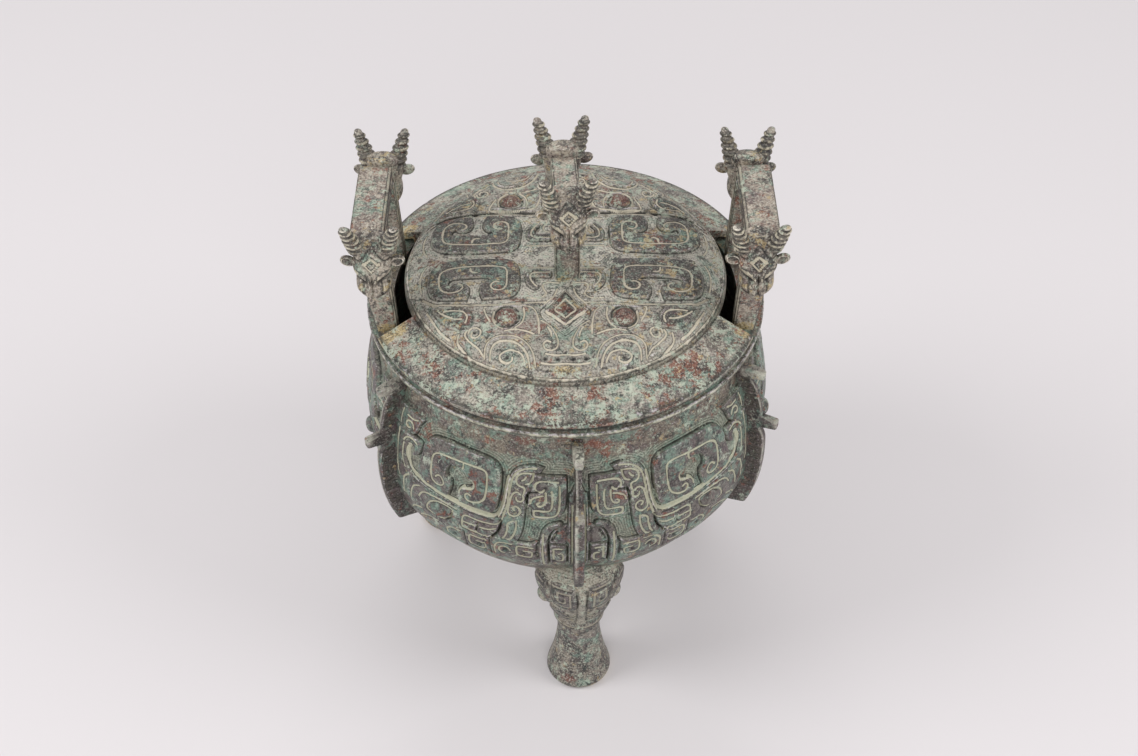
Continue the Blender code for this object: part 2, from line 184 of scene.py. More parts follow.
class Relief:
    """Raised plates and incised lines on a flat drawing, in millimetres.

    raised is 1 on a plate, line is 1 in a groove, dip is 1 in a hole, and ground is how
    far a point of the ground is from the nearest plate: its hatching follows that.
    """

    FAR = 14.0
    # the trench round a plate: depth, how far out it lies, and width
    TRENCH = (0.5, 0.8, 0.55)
    RECESS_SLOPE = 0.8
    LOW_RISE = 0.9
    LOW_TONE = 0.6
    CUT_PALE = 0.25

    def __init__(self, x, y):
        self.x = x
        self.y = y
        self.height = np.zeros_like(x)
        self.raised = np.zeros_like(x)
        self.line = np.zeros_like(x)
        self.dip = np.zeros_like(x)
        self.ground = np.full_like(x, self.FAR)

    def away(self, line, closed, margin):
        """Where a line is near, and how far those points are from it, less than 0 inside."""
        low = line.min(axis=0) - margin
        high = line.max(axis=0) + margin
        near = (self.x > low[0]) & (self.x < high[0]) & (self.y > low[1]) & (self.y < high[1])
        chosen = np.nonzero(near)[0]
        x = self.x[chosen]
        y = self.y[chosen]
        best = np.full(x.shape, self.FAR**2)
        inside = np.zeros(x.shape, bool)
        ends = np.roll(line, -1, axis=0) if closed else line[1:]
        for (ax, ay), (bx, by) in zip(line, ends):
            dx = bx - ax
            dy = by - ay
            size = dx * dx + dy * dy
            if size < 1e-9:
                continue
            along = np.clip(((x - ax) * dx + (y - ay) * dy) / size, 0.0, 1.0)
            best = np.minimum(best, (x - ax - along * dx) ** 2 + (y - ay - along * dy) ** 2)
            if closed and ay != by:
                inside ^= ((ay > y) != (by > y)) & (x < ax + (y - ay) / dy * dx)
        distance = np.sqrt(best)
        return chosen, np.where(inside, -distance, distance)

    def plate(self, rise, slope, outline):
        """A plate with a fine trench round it. A low one is less dark."""
        chosen, away = self.away(curve(outline, True), True, self.FAR)
        share = eased(0.5 - away / slope)
        tone = 1.0 if rise > self.LOW_RISE else self.LOW_TONE
        depth, place, width = self.TRENCH
        self.height[chosen] -= depth * hump(away - place, width)
        self.height[chosen] = np.maximum(self.height[chosen], rise * share)
        self.raised[chosen] = np.maximum(self.raised[chosen], tone * share)
        self.ground[chosen] = np.minimum(self.ground[chosen], np.maximum(away, 0.0))

    def recess(self, outline):
        """A hollow in a plate, down to the ground."""
        chosen, away = self.away(curve(outline, True), True, 2.0)
        share = eased(0.5 - away / self.RECESS_SLOPE)
        self.height[chosen] *= 1.0 - share
        self.raised[chosen] *= 1.0 - share
        self.ground[chosen] = np.where(away < 0, -away, self.ground[chosen])

    def groove(self, depth, width, points, pale=1.0):
        chosen, away = self.away(curve(points), False, 4 * width)
        share = hump(away, width)
        self.height[chosen] -= depth * share
        self.line[chosen] = np.maximum(self.line[chosen], pale * share)

    def ridge(self, rise, width, points, pale=0.0):
        chosen, away = self.away(curve(points), False, 4 * width)
        share = hump(away, width)
        self.height[chosen] += rise * share
        self.line[chosen] = np.maximum(self.line[chosen], pale * eased(1.4 * share))

    def boss(self, place, sizes, rise):
        reach = np.hypot((self.x - place[0]) / sizes[0], (self.y - place[1]) / sizes[1])
        self.height += rise * np.sqrt(np.clip(1.0 - reach**2, 0.0, 1.0))
        self.raised = np.maximum(self.raised, eased((1.05 - reach) / 0.2))

    def hole(self, place, size, depth):
        share = hump(np.hypot(self.x - place[0], self.y - place[1]), size)
        self.height -= depth * share
        self.dip = np.maximum(self.dip, share)


def drawn(x, y, plates=(), recesses=(), later=(), eyes=(), ridges=(), lines=(), cuts=(),
          holes=(), incision=(0.5, 0.48)):
    """Works a whole drawing. An incision is the depth and half width of its fine lines."""
    work = Relief(x, y)
    for plate in plates:
        work.plate(*plate)
    for outline in recesses:
        work.recess(outline)
    for plate in later:
        work.plate(*plate)
    for eye in eyes:
        work.boss(*eye)
    for ridge in ridges:
        work.ridge(*ridge)
    for line in lines:
        work.groove(*incision, line)
    for cut in cuts:
        work.groove(*cut, Relief.CUT_PALE)
    for hole in holes:
        work.hole(*hole)
    return work


# Half of a mask, out from the flange and down from the lid's edge. A plate has its rise,
# the width of its slope and its outline.
BELLY_PLATES = (
    # brow strip that hooks over beside the flange
    (1.5, 0.6, ((17, 31.3), (17, 31.3), (20.5, 30.3), (25, 30.9), (29.2, 32.4), (32.4, 35.2), (34, 39),
        (35.2, 46), (36.2, 54), (38, 61), (39.4, 65.2), (38, 68), (38.4, 73), (40.4, 78), (43, 83),
        (36, 83), (31.5, 81.6), (29, 77), (27.4, 71), (26.5, 64), (25.9, 57), (25.4, 51), (24.6, 47.3),
        (23, 45.4), (20, 44.6), (20.4, 41), (21, 37.2), (20, 34.6), (19, 34.4))),
    # squared scroll
    (1.5, 0.6, ((5.6, 36.4), (6.6, 35.3), (14, 35.2), (20.6, 35.2), (22, 38), (22.2, 43.5), (24, 46.5),
        (24.5, 53.4), (22.6, 54.8), (22.4, 60), (21.2, 60.9), (13, 60.9), (9.4, 59.6), (7, 56.2),
        (5.9, 51), (5.6, 44))),
    # great C-shaped horn
    (2, 0.6, ((38.2, 37), (40.2, 33), (44.5, 31), (52, 30.3), (62, 30.1), (71, 30.6), (77.5, 32.2),
        (81.4, 35.6), (83.3, 40.5), (83.8, 46), (85.2, 51.5), (86, 57), (83.6, 60.8), (77, 62),
        (62, 62.4), (50, 62.6), (43.5, 62.4), (40.6, 60), (39.2, 54), (38.1, 46))),
)
BELLY_RECESSES = (
    ((57, 43), (61.5, 41.4), (65.8, 42.4), (67.8, 46), (67.4, 50.2), (65.2, 51.6), (65, 56),
        (66.6, 62), (66.8, 64.5), (60.2, 64.5), (61, 58), (60, 54), (57, 51.8), (53.6, 50.6),
        (52.6, 47.8), (54.6, 46.2)),
)
BELLY_LOWER_PLATES = (
    # cheek, with a broad lit edge under the horn
    (1.4, 1.9, ((39.4, 67), (43, 66), (52, 65.8), (65, 65.6), (80, 65), (90, 64.4), (94.4, 62.6),
        (95.9, 59), (95.9, 52), (95, 47.5), (93, 45.4), (98, 41), (108, 40.8), (116, 40.8),
        (116, 40.8), (116, 112), (116, 112), (43, 112), (43, 112), (43, 82), (40.8, 78), (38.7, 73),
        (38.2, 69))),
    # hooked volute beside the mould joint
    (1.7, 0.6, ((99, 40.8), (92, 40.3), (86.6, 40.2), (85, 42), (85.2, 45), (87, 48.4), (88.8, 50.4),
        (90.8, 50), (89.6, 47.2), (91, 45), (94, 45.6), (97, 48), (101, 46))),
    # plate over the volute
    (1.4, 0.6, ((86, 27.8), (86, 27.8), (88.8, 32), (90, 36.4), (91.4, 38.8), (95, 39.6), (116, 39.6),
        (116, 39.6), (116, 27.8), (116, 27.8))),
    # row of small scrolls at the foot
    (1.3, 1, ((19.8, 78.4), (23.6, 80.4), (31, 80.8), (33, 82), (46, 82), (46, 112), (46, 112),
        (18.6, 112), (18.6, 112), (19, 84))),
    # arched nostril
    (1.7, 0.6, ((8.2, 63.4), (11, 63.9), (14.2, 65.4), (16.6, 68.3), (18, 72.5), (18.8, 79),
        (19.2, 88), (18.4, 112), (18.4, 112), (14.8, 112), (14.8, 112), (15.2, 88), (15.2, 80),
        (14.4, 73), (12.6, 69.2), (10.4, 67), (8, 66))),
    (1, 0.8, ((4.6, 66), (9.4, 67.2), (12.2, 70.4), (13.6, 75), (14, 78.4), (8.6, 78.6), (4.6, 78.6))),
    (1.1, 0.8, ((5.6, 80.4), (5.6, 80.4), (14.2, 80.4), (14.2, 80.4), (14.2, 97), (14.2, 97),
        (5.6, 97), (5.6, 97))),
    # bridge of the nose, beside the flange
    (1.1, 0.7, ((0, 45), (3.4, 45), (4.5, 48), (4.8, 70), (4.8, 112), (4.8, 112), (0, 112), (0, 112))),
)
BELLY_LINES = (
    ((20.5, 31.4), (25, 32.1), (28.6, 33.6), (31.2, 36.2), (32.6, 40), (33.6, 47), (34.6, 55),
        (36.4, 62), (37.6, 66.6)),
    ((21.8, 34.4), (27, 34.9), (29.6, 36.6), (30.4, 39), (29.9, 41), (28.5, 42.1), (26.6, 42.6),
        (26, 44.2), (26.6, 46.6)),
    ((21.9, 34.6), (22.5, 38), (23.8, 40), (25.6, 40.7)),
    ((25.6, 36.8), (26.4, 38.2), (27.6, 39)),
    ((28, 47.2), (29.6, 46), (31.4, 46.8), (32.6, 49.2), (33.2, 52.2), (34.2, 57.4), (34, 60.2),
        (32, 61.6), (29.6, 60.8), (28.1, 58.2), (28.6, 56), (30.4, 55), (32, 56.2), (31, 57.8)),
    ((27, 47.4), (26.6, 49.6), (27.8, 51.4), (29.8, 51), (30.2, 49.2)),
    ((30.2, 64.6), (30.4, 70), (31.8, 75.4), (34, 79), (37.6, 79.9)),
    ((31.6, 65), (34.2, 67.4), (34.8, 72), (35.8, 76.6), (37.7, 79.8)),
    ((9.6, 38.4), (15, 38.1), (19, 38.5), (20.9, 40), (21.1, 42.2), (19.9, 44), (17.9, 44.2),
        (16.6, 43)),
    ((9, 40.5), (9, 48), (9.3, 54), (10.4, 57.6), (12.8, 59.4), (16.5, 59.8), (20.6, 59.8),
        (21.5, 58.6), (21.3, 56.2), (19, 55.8), (15, 55.9), (13.3, 54.6), (12.6, 51), (12.5, 46),
        (12.9, 43.6)),
    ((15.8, 44.4), (15.8, 49), (17, 52), (19, 52.9), (19.9, 51.6), (18.8, 50.6)),
    ((17.2, 46.4), (20, 47.2), (22.6, 49), (23.4, 51.5)),
    ((74.2, 53.8), (72.6, 52), (70.8, 52.2), (69.4, 54), (69.2, 56), (71, 57.8), (73.8, 57.9),
        (76.2, 56.4), (77, 53), (77, 46.5), (76.4, 42.2), (74.6, 39.8), (71.5, 38.6), (65, 37.9),
        (58, 37.5), (50, 37.3), (47, 37.7), (45.3, 39.4), (45, 44), (45.3, 50), (46.4, 54.6),
        (48.6, 57.4), (51.4, 58.9), (54.4, 59.3), (56.3, 58), (56.4, 55.9), (55, 54.7), (53.6, 55.5)),
    ((54.6, 45.8), (52.6, 46.6), (51.8, 48.6), (52.6, 50.7), (55, 51.9), (58, 52.5), (59.6, 54.4),
        (60.2, 57)),
    ((58.4, 38.2), (58.2, 40.2), (59.6, 41.6), (62, 40.8)),
    ((38.6, 69), (41.4, 70.6), (46, 71.3), (52, 71.4), (56, 71), (58.2, 72.4), (59, 75.5), (59.2, 80)),
    ((40.8, 73.6), (44.6, 75.7), (49.2, 76.1)),
    ((51.8, 76.1), (58.2, 76.6)),
    ((44, 82.4), (52, 81.2), (59, 80.8)),
    ((62, 69.8), (70, 69), (79, 69.8), (84, 72.2), (87, 77)),
    ((86, 69), (90.4, 72.4), (92.8, 78), (94, 84)),
    ((94, 67), (97.6, 71), (99.2, 77), (99.8, 85)),
    ((64.2, 72), (67, 70.9), (73, 71.2), (78, 74.2), (81, 79), (81, 82.4), (76, 82.8), (70, 81.8),
        (66.2, 78), (64.2, 72)),
    ((90.4, 30.4), (94, 31.8), (98.6, 31.8)),
    ((92.6, 36.4), (94.2, 34.2), (97, 34.2), (98.6, 36.2), (97.2, 38), (95.2, 37.2)),
    ((102.4, 30.2), (103.2, 34), (103, 38.6)),
    ((88.2, 42.8), (90.8, 41.9), (93.6, 42), (96.6, 43.8), (98.4, 47), (99, 53), (98.8, 60),
        (96.8, 64)),
    ((103, 42), (103.4, 52), (103.4, 66), (102.4, 74)),
    ((33, 83.2), (37, 83), (40.4, 84.8), (42.2, 88.4), (42.4, 95)),
    ((34.2, 89), (35.4, 86.8), (38, 86.6), (39.8, 88.6), (39.6, 91.6), (37.4, 92.8)),
    ((22.5, 83.8), (29, 83.8), (30.6, 85.2), (30.6, 91), (28.8, 92.4), (24.4, 92.4), (23.2, 90.8),
        (23.4, 87.4), (27.2, 87.2)),
    ((46.4, 85.4), (54, 85.2), (56, 87), (56, 92.6), (53.4, 94.2), (48.4, 93.8), (47.2, 91.4),
        (48, 88.8), (52, 88.6)),
    ((61, 86), (66.4, 86.4), (69.4, 89.4), (68.8, 93.4), (65, 94.8), (61.8, 93)),
    ((75, 87.4), (82, 89), (87.6, 92.6), (91, 97)),
    ((86, 85.6), (92.6, 89.6), (97, 95.6)),
    ((8.2, 83.4), (12, 83.4), (12.2, 86), (12, 93.6), (8, 93.8), (7.8, 88), (10, 87.6)),
    ((3, 52), (3.2, 70), (3.2, 99)),
    ((16.9, 71.5), (17.4, 79), (17.6, 88), (17.2, 99)),
    ((0, 99.6), (30, 99.6), (60, 99.6), (90, 99.6), (110, 99.6)),
)
# deeper cuts between plates, with depth and half width
BELLY_CUTS = (
    (1.3, 0.6, ((20, 45), (22.6, 45.2), (24.5, 46.6), (25.2, 50), (25.3, 54))),
    (1, 0.7, ((10.2, 69.8), (11.6, 73), (13, 77))),
    (1.2, 0.6, ((38.2, 67), (38.6, 71), (39.8, 75.4), (42, 79.6), (44.6, 82.6))),
    (0.9, 0.5, ((50.2, 73.6), (50.8, 77), (51.6, 80.4))),
    (0.7, 0.5, ((62, 67.4), (70, 67.2), (80, 66.9), (90, 66.4))),
    (0.7, 0.5, ((42, 68), (50, 67.9), (60, 67.6))),
    (1, 0.7, ((65.2, 75), (66.4, 79), (69, 82))),
    (0.9, 0.6, ((5.6, 79.6), (14.6, 79.6))),
    (0.8, 0.6, ((19.6, 79), (20.6, 82.6), (20.4, 92))),
    (0.7, 0.5, ((44.6, 84), (44.8, 97))),
    (0.7, 0.5, ((58.6, 84), (58.8, 97))),
)
BELLY_HOLES = (
    ((36.6, 89.4), 1.3, 1),
    ((50.4, 91), 1.4, 1.1),
    ((21.6, 88.6), 1.1, 1.1),
    ((12.4, 95.4), 1.2, 1),
    ((27, 89.6), 1, 0.8),
    ((64.8, 90.6), 1.2, 0.8),
    ((15.8, 42), 1, 0.5),
)
BELLY_EYES = (((72.8, 76.4), (4.8, 4.0), 2.2),)
# the lit ledge round the horn, paler for pale patina and for a painted highlight on its top: rise,
# half width, line and how pale it is
BELLY_RIDGES = (
    (0.7, 0.95, ((34.4, 39), (35.4, 46), (36.5, 54), (38.2, 60.4), (40, 64), (43, 65.3), (50, 65.4),
        (60, 65), (75, 64.2), (88, 63.4), (92.8, 61.6), (94.8, 57), (95, 50.5), (93.8, 46.8),
        (91.8, 45)), 0.9),
)
SHARP_ANGLE = radians(62)


def read(mesh, name):
    flat = np.empty(len(mesh.vertices) * 3, np.float32)
    mesh.vertices.foreach_get(name, flat)
    return flat.reshape(-1, 3).astype(float)


def corners(mesh):
    """The vertices of a mesh, in millimetres."""
    return read(mesh, "co") / MM


def put_back(mesh, points):
    """Sets the vertices, given in millimetres."""
    mesh.vertices.foreach_set("co", (points * MM).astype(np.float32).ravel())
    mesh.update()


def finished(thing, material, node):
    """Gives a piece its finish and ties it to the piece of the model that it stands for."""
    thing.data.materials.clear()
    thing.data.materials.append(material)
    thing.data.shade_smooth()
    thing.data.set_sharp_from_angle(angle=SHARP_ANGLE)
    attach(thing, "root")
    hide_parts(node)


def turned(form, profile, first, last, steps):
    """Spins a closed outline of (radius, drop) points about the upright axis."""
    points = [
        form.verts.new((r * sin(first) * MM, -r * cos(first) * MM, (EDGE - d) * MM))
        for r, d in profile
    ]
    face = form.faces.new(points)
    bmesh.ops.spin(
        form,
        geom=[face, *face.edges, *points],
        cent=(0, 0, 0),
        axis=(0, 0, 1),
        angle=last - first,
        steps=steps,
        use_duplicate=False,
    )
    bmesh.ops.remove_doubles(form, verts=form.verts, dist=0.000002)
    bmesh.ops.recalc_face_normals(form, faces=form.faces)


body_line = curve(BODY_PROFILE, steps=24)


def body_radius(drop):
    return np.interp(drop, body_line[:, 0], body_line[:, 1])


def body_lean(drop, near=0.4):
    """How fast the body's radius grows as the drop does."""
    return (body_radius(drop + near) - body_radius(drop - near)) / (2.0 * near)


def body_outline():
    """Outer side from the bottom up, over the rim, and down the inner side."""
    outer = [(0.0, BOTTOM_DROP)]
    outer += [(r, d) for d, r in body_line[-4::-5] if d > RELIEF_DROPS[1] + 0.6]
    rows = np.arange(RELIEF_DROPS[1], RELIEF_DROPS[0], -ROW_STEP)
    neck = np.arange(RELIEF_DROPS[0], MOUTH_STEPS[-1][1], -NECK_STEP)
    outer += [(body_radius(d), d) for d in (*rows, *neck)]
    inner = list(MOUTH_STEPS)
    for drop in INNER_DROPS:
        slope = body_lean(drop)
        size = hypot(1.0, slope)
        inner.append((body_radius(drop) - WALL / size, drop + WALL * slope / size))
    inner.append((0.0, BOTTOM_DROP - WALL))
    return outer + list(RIM_PROFILE[::-1]) + inner


# numbers kept at every point of a piece, which its finish reads
MARKS = ("sharp", "raised", "line", "dip", "ground", "field", "soil", "red")
SMALLEST_SPAN = 0.05
SHARPEST = 4.0


def marked(mesh, **marks):
    """Keeps the marks, with how sharply each point stands out of its neighbours."""
    points = corners(mesh)
    pairs = np.empty(len(mesh.edges) * 2, np.int32)
    mesh.edges.foreach_get("vertices", pairs)
    start, end = pairs.reshape(-1, 2).T
    count = np.bincount(start, minlength=len(points)) + np.bincount(end, minlength=len(points))
    count = np.maximum(count, 1)

    def gathered(at_start, at_end):
        total = np.bincount(start, at_start, len(points))
        return (total + np.bincount(end, at_end, len(points))) / count

    def spread(values):
        return gathered(values[end], values[start])

    span = np.linalg.norm(points[end] - points[start], axis=1)
    size = gathered(span, span)
    middle = np.stack([spread(points[:, axis]) for axis in range(3)], axis=1)
    bend = np.sum((points - middle) * read(mesh, "normal"), axis=1)
    bend = bend / np.maximum(size, SMALLEST_SPAN) ** 2
    bend = 0.5 * bend + 0.5 * spread(bend)
    marks["sharp"] = np.clip(bend, -SHARPEST, SHARPEST)
    for name in MARKS:
        layer = mesh.attributes.new(name, "FLOAT", "POINT")
        values = marks.get(name, np.zeros(len(points)))
        layer.data.foreach_set("value", np.asarray(values, np.float32))


def drawing_marks(relief, chosen, fade, count):
    """The marks of a drawing that covers the chosen points of a piece."""
    marks = {name: np.zeros(count) for name in MARKS[1:]}
    for name in ("raised", "line", "dip"):
        marks[name][chosen] = getattr(relief, name) * fade
    marks["ground"][chosen] = relief.ground
    marks["field"][chosen] = (1.0 - relief.raised) * fade
    return marks


def around(radius, angle, height):
    """Three coordinates, from the angle about the upright axis, 0 at the front."""
    return radius * np.sin(angle), -radius * np.cos(angle), height


class Worked:
    """A socket in a finish. Sums written on it become the finish's own nodes."""

    def __init__(self, finish, socket):
        self.finish = finish
        self.socket = socket

    def sum(self, operation, *values):
        return self.finish.node("ShaderNodeMath", {"operation": operation}, values)

    def __add__(self, other):
        return self.sum("ADD", self, other)

    def __radd__(self, other):
        return self.sum("ADD", other, self)

    def __sub__(self, other):
        return self.sum("SUBTRACT", self, other)

    def __rsub__(self, other):
        return self.sum("SUBTRACT", other, self)

    def __mul__(self, other):
        return self.sum("MULTIPLY", self, other)

    def __rmul__(self, other):
        return self.sum("MULTIPLY", other, self)


# what lies on old bronze, in two shades each, and the colours of painted shadow
VERDIGRIS = ((88, 124, 112), (140, 172, 154))
TARNISH = ((120, 100, 102), (88, 76, 80))
CUPRITE = ((150, 86, 64), (92, 52, 44))
RED_STREAK = ((140, 84, 68), (88, 56, 54))
LIME = ((196, 172, 126), (160, 142, 106))
EARTH = ((206, 184, 136), (164, 146, 106))
BLACK_CRUST = ((56, 54, 54), (38, 38, 40))
PALE_CRUST = ((208, 212, 194), (160, 180, 160))
PALE_SPECK = (206, 206, 192)
DARK_SPECK = (38, 38, 36)
RIB_SHADE = (70, 76, 68)
PAINTED_HOLLOW_SHADOW = (42, 41, 37)
PAINTED_LINE_SHADOW = (46, 45, 40)
PAINTED_DIP_SHADOW = (24, 23, 22)
RIB_PITCH = 1.3
METALLIC = 0.18


def tint(red, green, blue):
    """A colour as it is read off a screen, for a shader."""
    return tuple((part / 255.0) ** 2.2 for part in (red, green, blue)) + (1.0,)


class Finish:
    """A material under way, with the few nodes that an old bronze surface needs."""

    CLOUD_SPREAD = 0.062

    def __init__(self, name):
        self.material = bpy.data.materials.new(name)
        self.material.use_nodes = True
        self.tree = self.material.node_tree
        self.shader = self.tree.nodes["Principled BSDF"]
        self.place = self.node("ShaderNodeTexCoord", {}, {}, "Object")

    def node(self, kind, settings, values, output=0):
        made = self.tree.nodes.new(kind)
        for name, value in settings.items():
            setattr(made, name, value)
        for key, value in values.items() if isinstance(values, dict) else enumerate(values):
            if isinstance(value, Worked):
                self.tree.links.new(value.socket, made.inputs[key])
            else:
                made.inputs[key].default_value = value
        return Worked(self, made.outputs[output])

    def noise(self, size, detail=3.0, rough=0.55, place=None, warp=0.0):
        """Clouds about as large as size, in millimetres."""
        values = {
            "Vector": place or self.place,
            "Scale": 1.0 / (size * MM),
            "Detail": detail,
            "Roughness": rough,
            "Distortion": warp,
        }
        return self.node("ShaderNodeTexNoise", {}, values, 0)

    def patch(self, share, coarse, fine, seed, soft):
        """Broken patches, between fine and coarse in size, that cover about that share."""
        place = self.shifted(0.37 * seed, 0.11 * seed, 0.53 * seed)
        middle = (coarse * fine) ** 0.5
        mixed = 0.36 * self.noise(coarse, 2.0, 0.5, place)
        mixed = mixed + 0.34 * self.noise(middle, 3.0, 0.6, place)
        mixed = mixed + 0.30 * self.noise(fine, 3.0, 0.65, place)
        edge = 0.5 + self.CLOUD_SPREAD * NormalDist().inv_cdf(1.0 - share)
        return self.step(mixed, edge - soft, edge + soft)

    def step(self, value, low, high):
        """From 0 at low to 1 at high."""
        settings = {"interpolation_type": "SMOOTHSTEP"}
        values = {"Value": value, "From Min": low, "From Max": high}
        return self.node("ShaderNodeMapRange", settings, values)

    def blend(self, share, under, over):
        settings = {"data_type": "RGBA"}
        return self.node("ShaderNodeMix", settings, {0: share, 6: under, 7: over}, 2)

    def mark(self, name):
        settings = {"attribute_name": name, "attribute_type": "GEOMETRY"}
        return self.node("ShaderNodeAttribute", settings, {}, "Fac")

    def shifted(self, x, y, z):
        settings = {"operation": "ADD"}
        return self.node("ShaderNodeVectorMath", settings, (self.place, (x, y, z)))

    def use(self, **sockets):
        for name, value in sockets.items():
            socket = self.shader.inputs[name.replace("_", " ").title()]
            if isinstance(value, Worked):
                self.tree.links.new(value.socket, socket)
            else:
                socket.default_value = value


def patina(
    name,
    metal=((128, 119, 105), (88, 79, 74)),
    field=(166, 172, 154),
    line=(208, 207, 180),
    plates=((110, 104, 99), (64, 57, 59)),
    worn_and_highlight=(220, 212, 214),
    teal=0.34,
    rust=0.10,
    plum=0.18,
    mint=0.12,
    char=0.16,
    tan=0.04,
    hatch=0.0,
    inlaid=0.85,
    speck=0.22,
    crisp=0.025,
):
    """Old bronze after burial: dark metal under verdigris, cuprite, lime and soil.

    metal, field, line, plates and worn_and_highlight are the colours of the casting, its sunk
    ground, its incised lines, its raised plates and its sharp edges, which are rubbed and also
    painted with a highlight. teal, rust, plum, mint, char and tan are the shares of the surface
    that each covers. hatch, inlaid and speck are strengths, and crisp is small where patches
    have hard edges.
    """
    work = Finish(name)
    sharp = work.mark("sharp")
    raised = work.mark("raised")
    inlay = work.mark("line")
    dip = work.mark("dip")
    ground = work.mark("ground")
    open_ground = work.mark("field")
    soil = work.mark("soil")
    red = work.mark("red")

    cloud = work.noise(20.0, 2.0, 0.5)
    blotch = work.noise(6.0, 3.0, 0.6, work.shifted(0.3, 0.1, 0.2), 0.3)
    spot = work.noise(2.2, 3.0, 0.65, work.shifted(0.7, 0.4, 0.1))
    grain = work.noise(1.0, 2.0, 0.7, work.shifted(0.2, 0.8, 0.5))
    dust = work.noise(0.95, 1.0, 0.6, work.shifted(0.6, 0.2, 0.9))

    def shade(colours, share):
        return work.blend(share, *(tint(*each) for each in colours))

    def cover(share, strength, colours, grading):
        return work.blend(strength * share, colour, shade(colours, grading))

    def frayed(value, low, high):
        return work.step(value + 0.9 * (spot - 0.5), low, high)

    # the bare casting, its plates and its sunk ground
    mixed = work.step(0.45 * blotch + 0.25 * cloud + 0.3 * spot, 0.42, 0.58)
    colour = shade(metal, mixed)
    top = shade(plates, work.step(0.5 * spot + 0.5 * blotch, 0.40, 0.60))
    colour = work.blend(0.9 * raised, colour, top)
    share = open_ground * work.step(0.5 * spot + 0.3 * grain + 0.2 * blotch, 0.34, 0.52)
    colour = cover(share, 0.85, (field, tuple(0.80 * part for part in field)), grain)

    # what has grown and dried on it, in broken patches
    colour = cover(work.patch(teal, 15.0, 2.4, 1, 0.05), 0.62, VERDIGRIS, grain)
    colour = cover(work.patch(plum, 13.0, 2.4, 6, 0.05), 0.50, TARNISH, spot)
    colour = cover(work.patch(rust, 13.0, 2.4, 2, crisp), 0.78, CUPRITE, spot)
    colour = cover(frayed(red, 0.34, 0.56), 0.72, RED_STREAK, spot)
    colour = cover(work.patch(tan, 10.0, 1.8, 3, crisp), 0.75, LIME, grain)
    colour = cover(frayed(soil, 0.36, 0.56), 0.85, EARTH, grain)
    colour = cover(work.patch(char, 7.0, 1.0, 4, crisp), 0.76, BLACK_CRUST, spot)

    # the ribs of the ground, and specks
    waves = work.node("ShaderNodeMath", {"operation": "SINE"}, (ground * (2 * pi / RIB_PITCH),))
    ribs = work.step(waves + 2.6 * (spot - 0.5), 0.0, 0.9) * open_ground
    ribs = ribs * work.step(ground, 0.3, 0.7)
    colour = work.blend(hatch * ribs, colour, tint(*RIB_SHADE))
    share = work.step(dust, 0.55, 0.65) * (1.0 - 0.5 * raised)
    colour = work.blend(speck * share, colour, tint(*PALE_SPECK))
    share = work.step(1.0 - dust, 0.55, 0.65)
    colour = work.blend(1.2 * speck * share, colour, tint(*DARK_SPECK))

    # painted shadow in hollows and round the foot of the plates, and lines with a pale filling and
    # painted shadow on their sides
    # painted shadow on the ground within about a millimetre of a plate, and in concave places
    painted_shade_by_plates = open_ground * (1.0 - work.step(ground, 0.1, 1.0))
    sunk = work.step(0.0 - sharp + 0.7 * (spot - 0.5) + 0.5 * painted_shade_by_plates, 0.12, 0.62)
    colour = work.blend(0.88 * sunk * (1.0 - 0.7 * inlay), colour, tint(*PAINTED_HOLLOW_SHADOW))
    # painted shadow along both sides of each incised line
    beside = work.step(inlay, 0.03, 0.22) * (1.0 - work.step(inlay, 0.25, 0.5))
    colour = work.blend(0.82 * beside, colour, tint(*PAINTED_LINE_SHADOW))
    share = work.step(inlay + 0.7 * (spot - 0.5) + 0.9 * (blotch - 0.5), 0.26, 0.52)
    colour = cover(share, inlaid, (line, tuple(0.78 * part for part in line)), grain)

    # pale crust, rubbed edges with a painted highlight, and painted shadow in holes, seams and grooves
    flake = work.patch(mint, 7.0, 0.8, 5, crisp)
    colour = cover(flake, 0.68, PALE_CRUST, blotch)
    # rubbed edges, made paler still by a painted highlight
    edge = work.step(sharp + 0.9 * (spot - 0.5) + 0.6 * (grain - 0.5), 0.20, 0.56)
    colour = work.blend(0.8 * edge, colour, tint(*worn_and_highlight))
    # painted shadow wherever a piece marks a dip: holes, seams, grooves and hollows
    colour = work.blend(0.95 * dip, colour, tint(*PAINTED_DIP_SHADOW))

    rough = 0.36 + 0.26 * grain - 0.08 * edge + 0.10 * inlay - 0.07 * raised
    lift = 0.5 * spot + 0.4 * grain + 0.4 * blotch + 0.15 * flake - 0.5 * ribs
    bump = work.node(
        "ShaderNodeBump", {}, {"Strength": 0.9, "Distance": 0.0008, "Height": lift}, "Normal"
    )
    work.use(base_color=colour, roughness=rough, normal=bump, metallic=METALLIC)
    return work.material


def repeated(mesh, name, count, first, bronze):
    """The same piece of the vessel, evenly round the upright axis."""
    for number in range(count):
        copy = mesh.copy()
        copy.transform(Matrix.Rotation(first + 2 * pi * number / count, 4, "Z"))
        finished(link(f"{name}_{number + 1}", copy), bronze, "vessel")


# radius and drop of the painted highlight on the rim's edge, and of the painted shadow line under the
# lid's border
RIM_EDGE = (100.8, 6.2)
BORDER_SEAM = (96.4, 5.4)
# strength, then degrees from the flange and drop, each with its spread
NECK_RUST = ((0.62, -15.0, 6.0, 17.5, 3.6), (0.55, 4.6, 1.8, 16.0, 3.0))
# earth beside the ears' feet: out to the side, along the rim, and the lowest drop
EAR_EARTH = (84.0, 36.0, 9.0)

form = bmesh.new()
turned(form, body_outline(), -pi / 3, pi / 3, COLUMNS)
third = meshed("body_third", form)

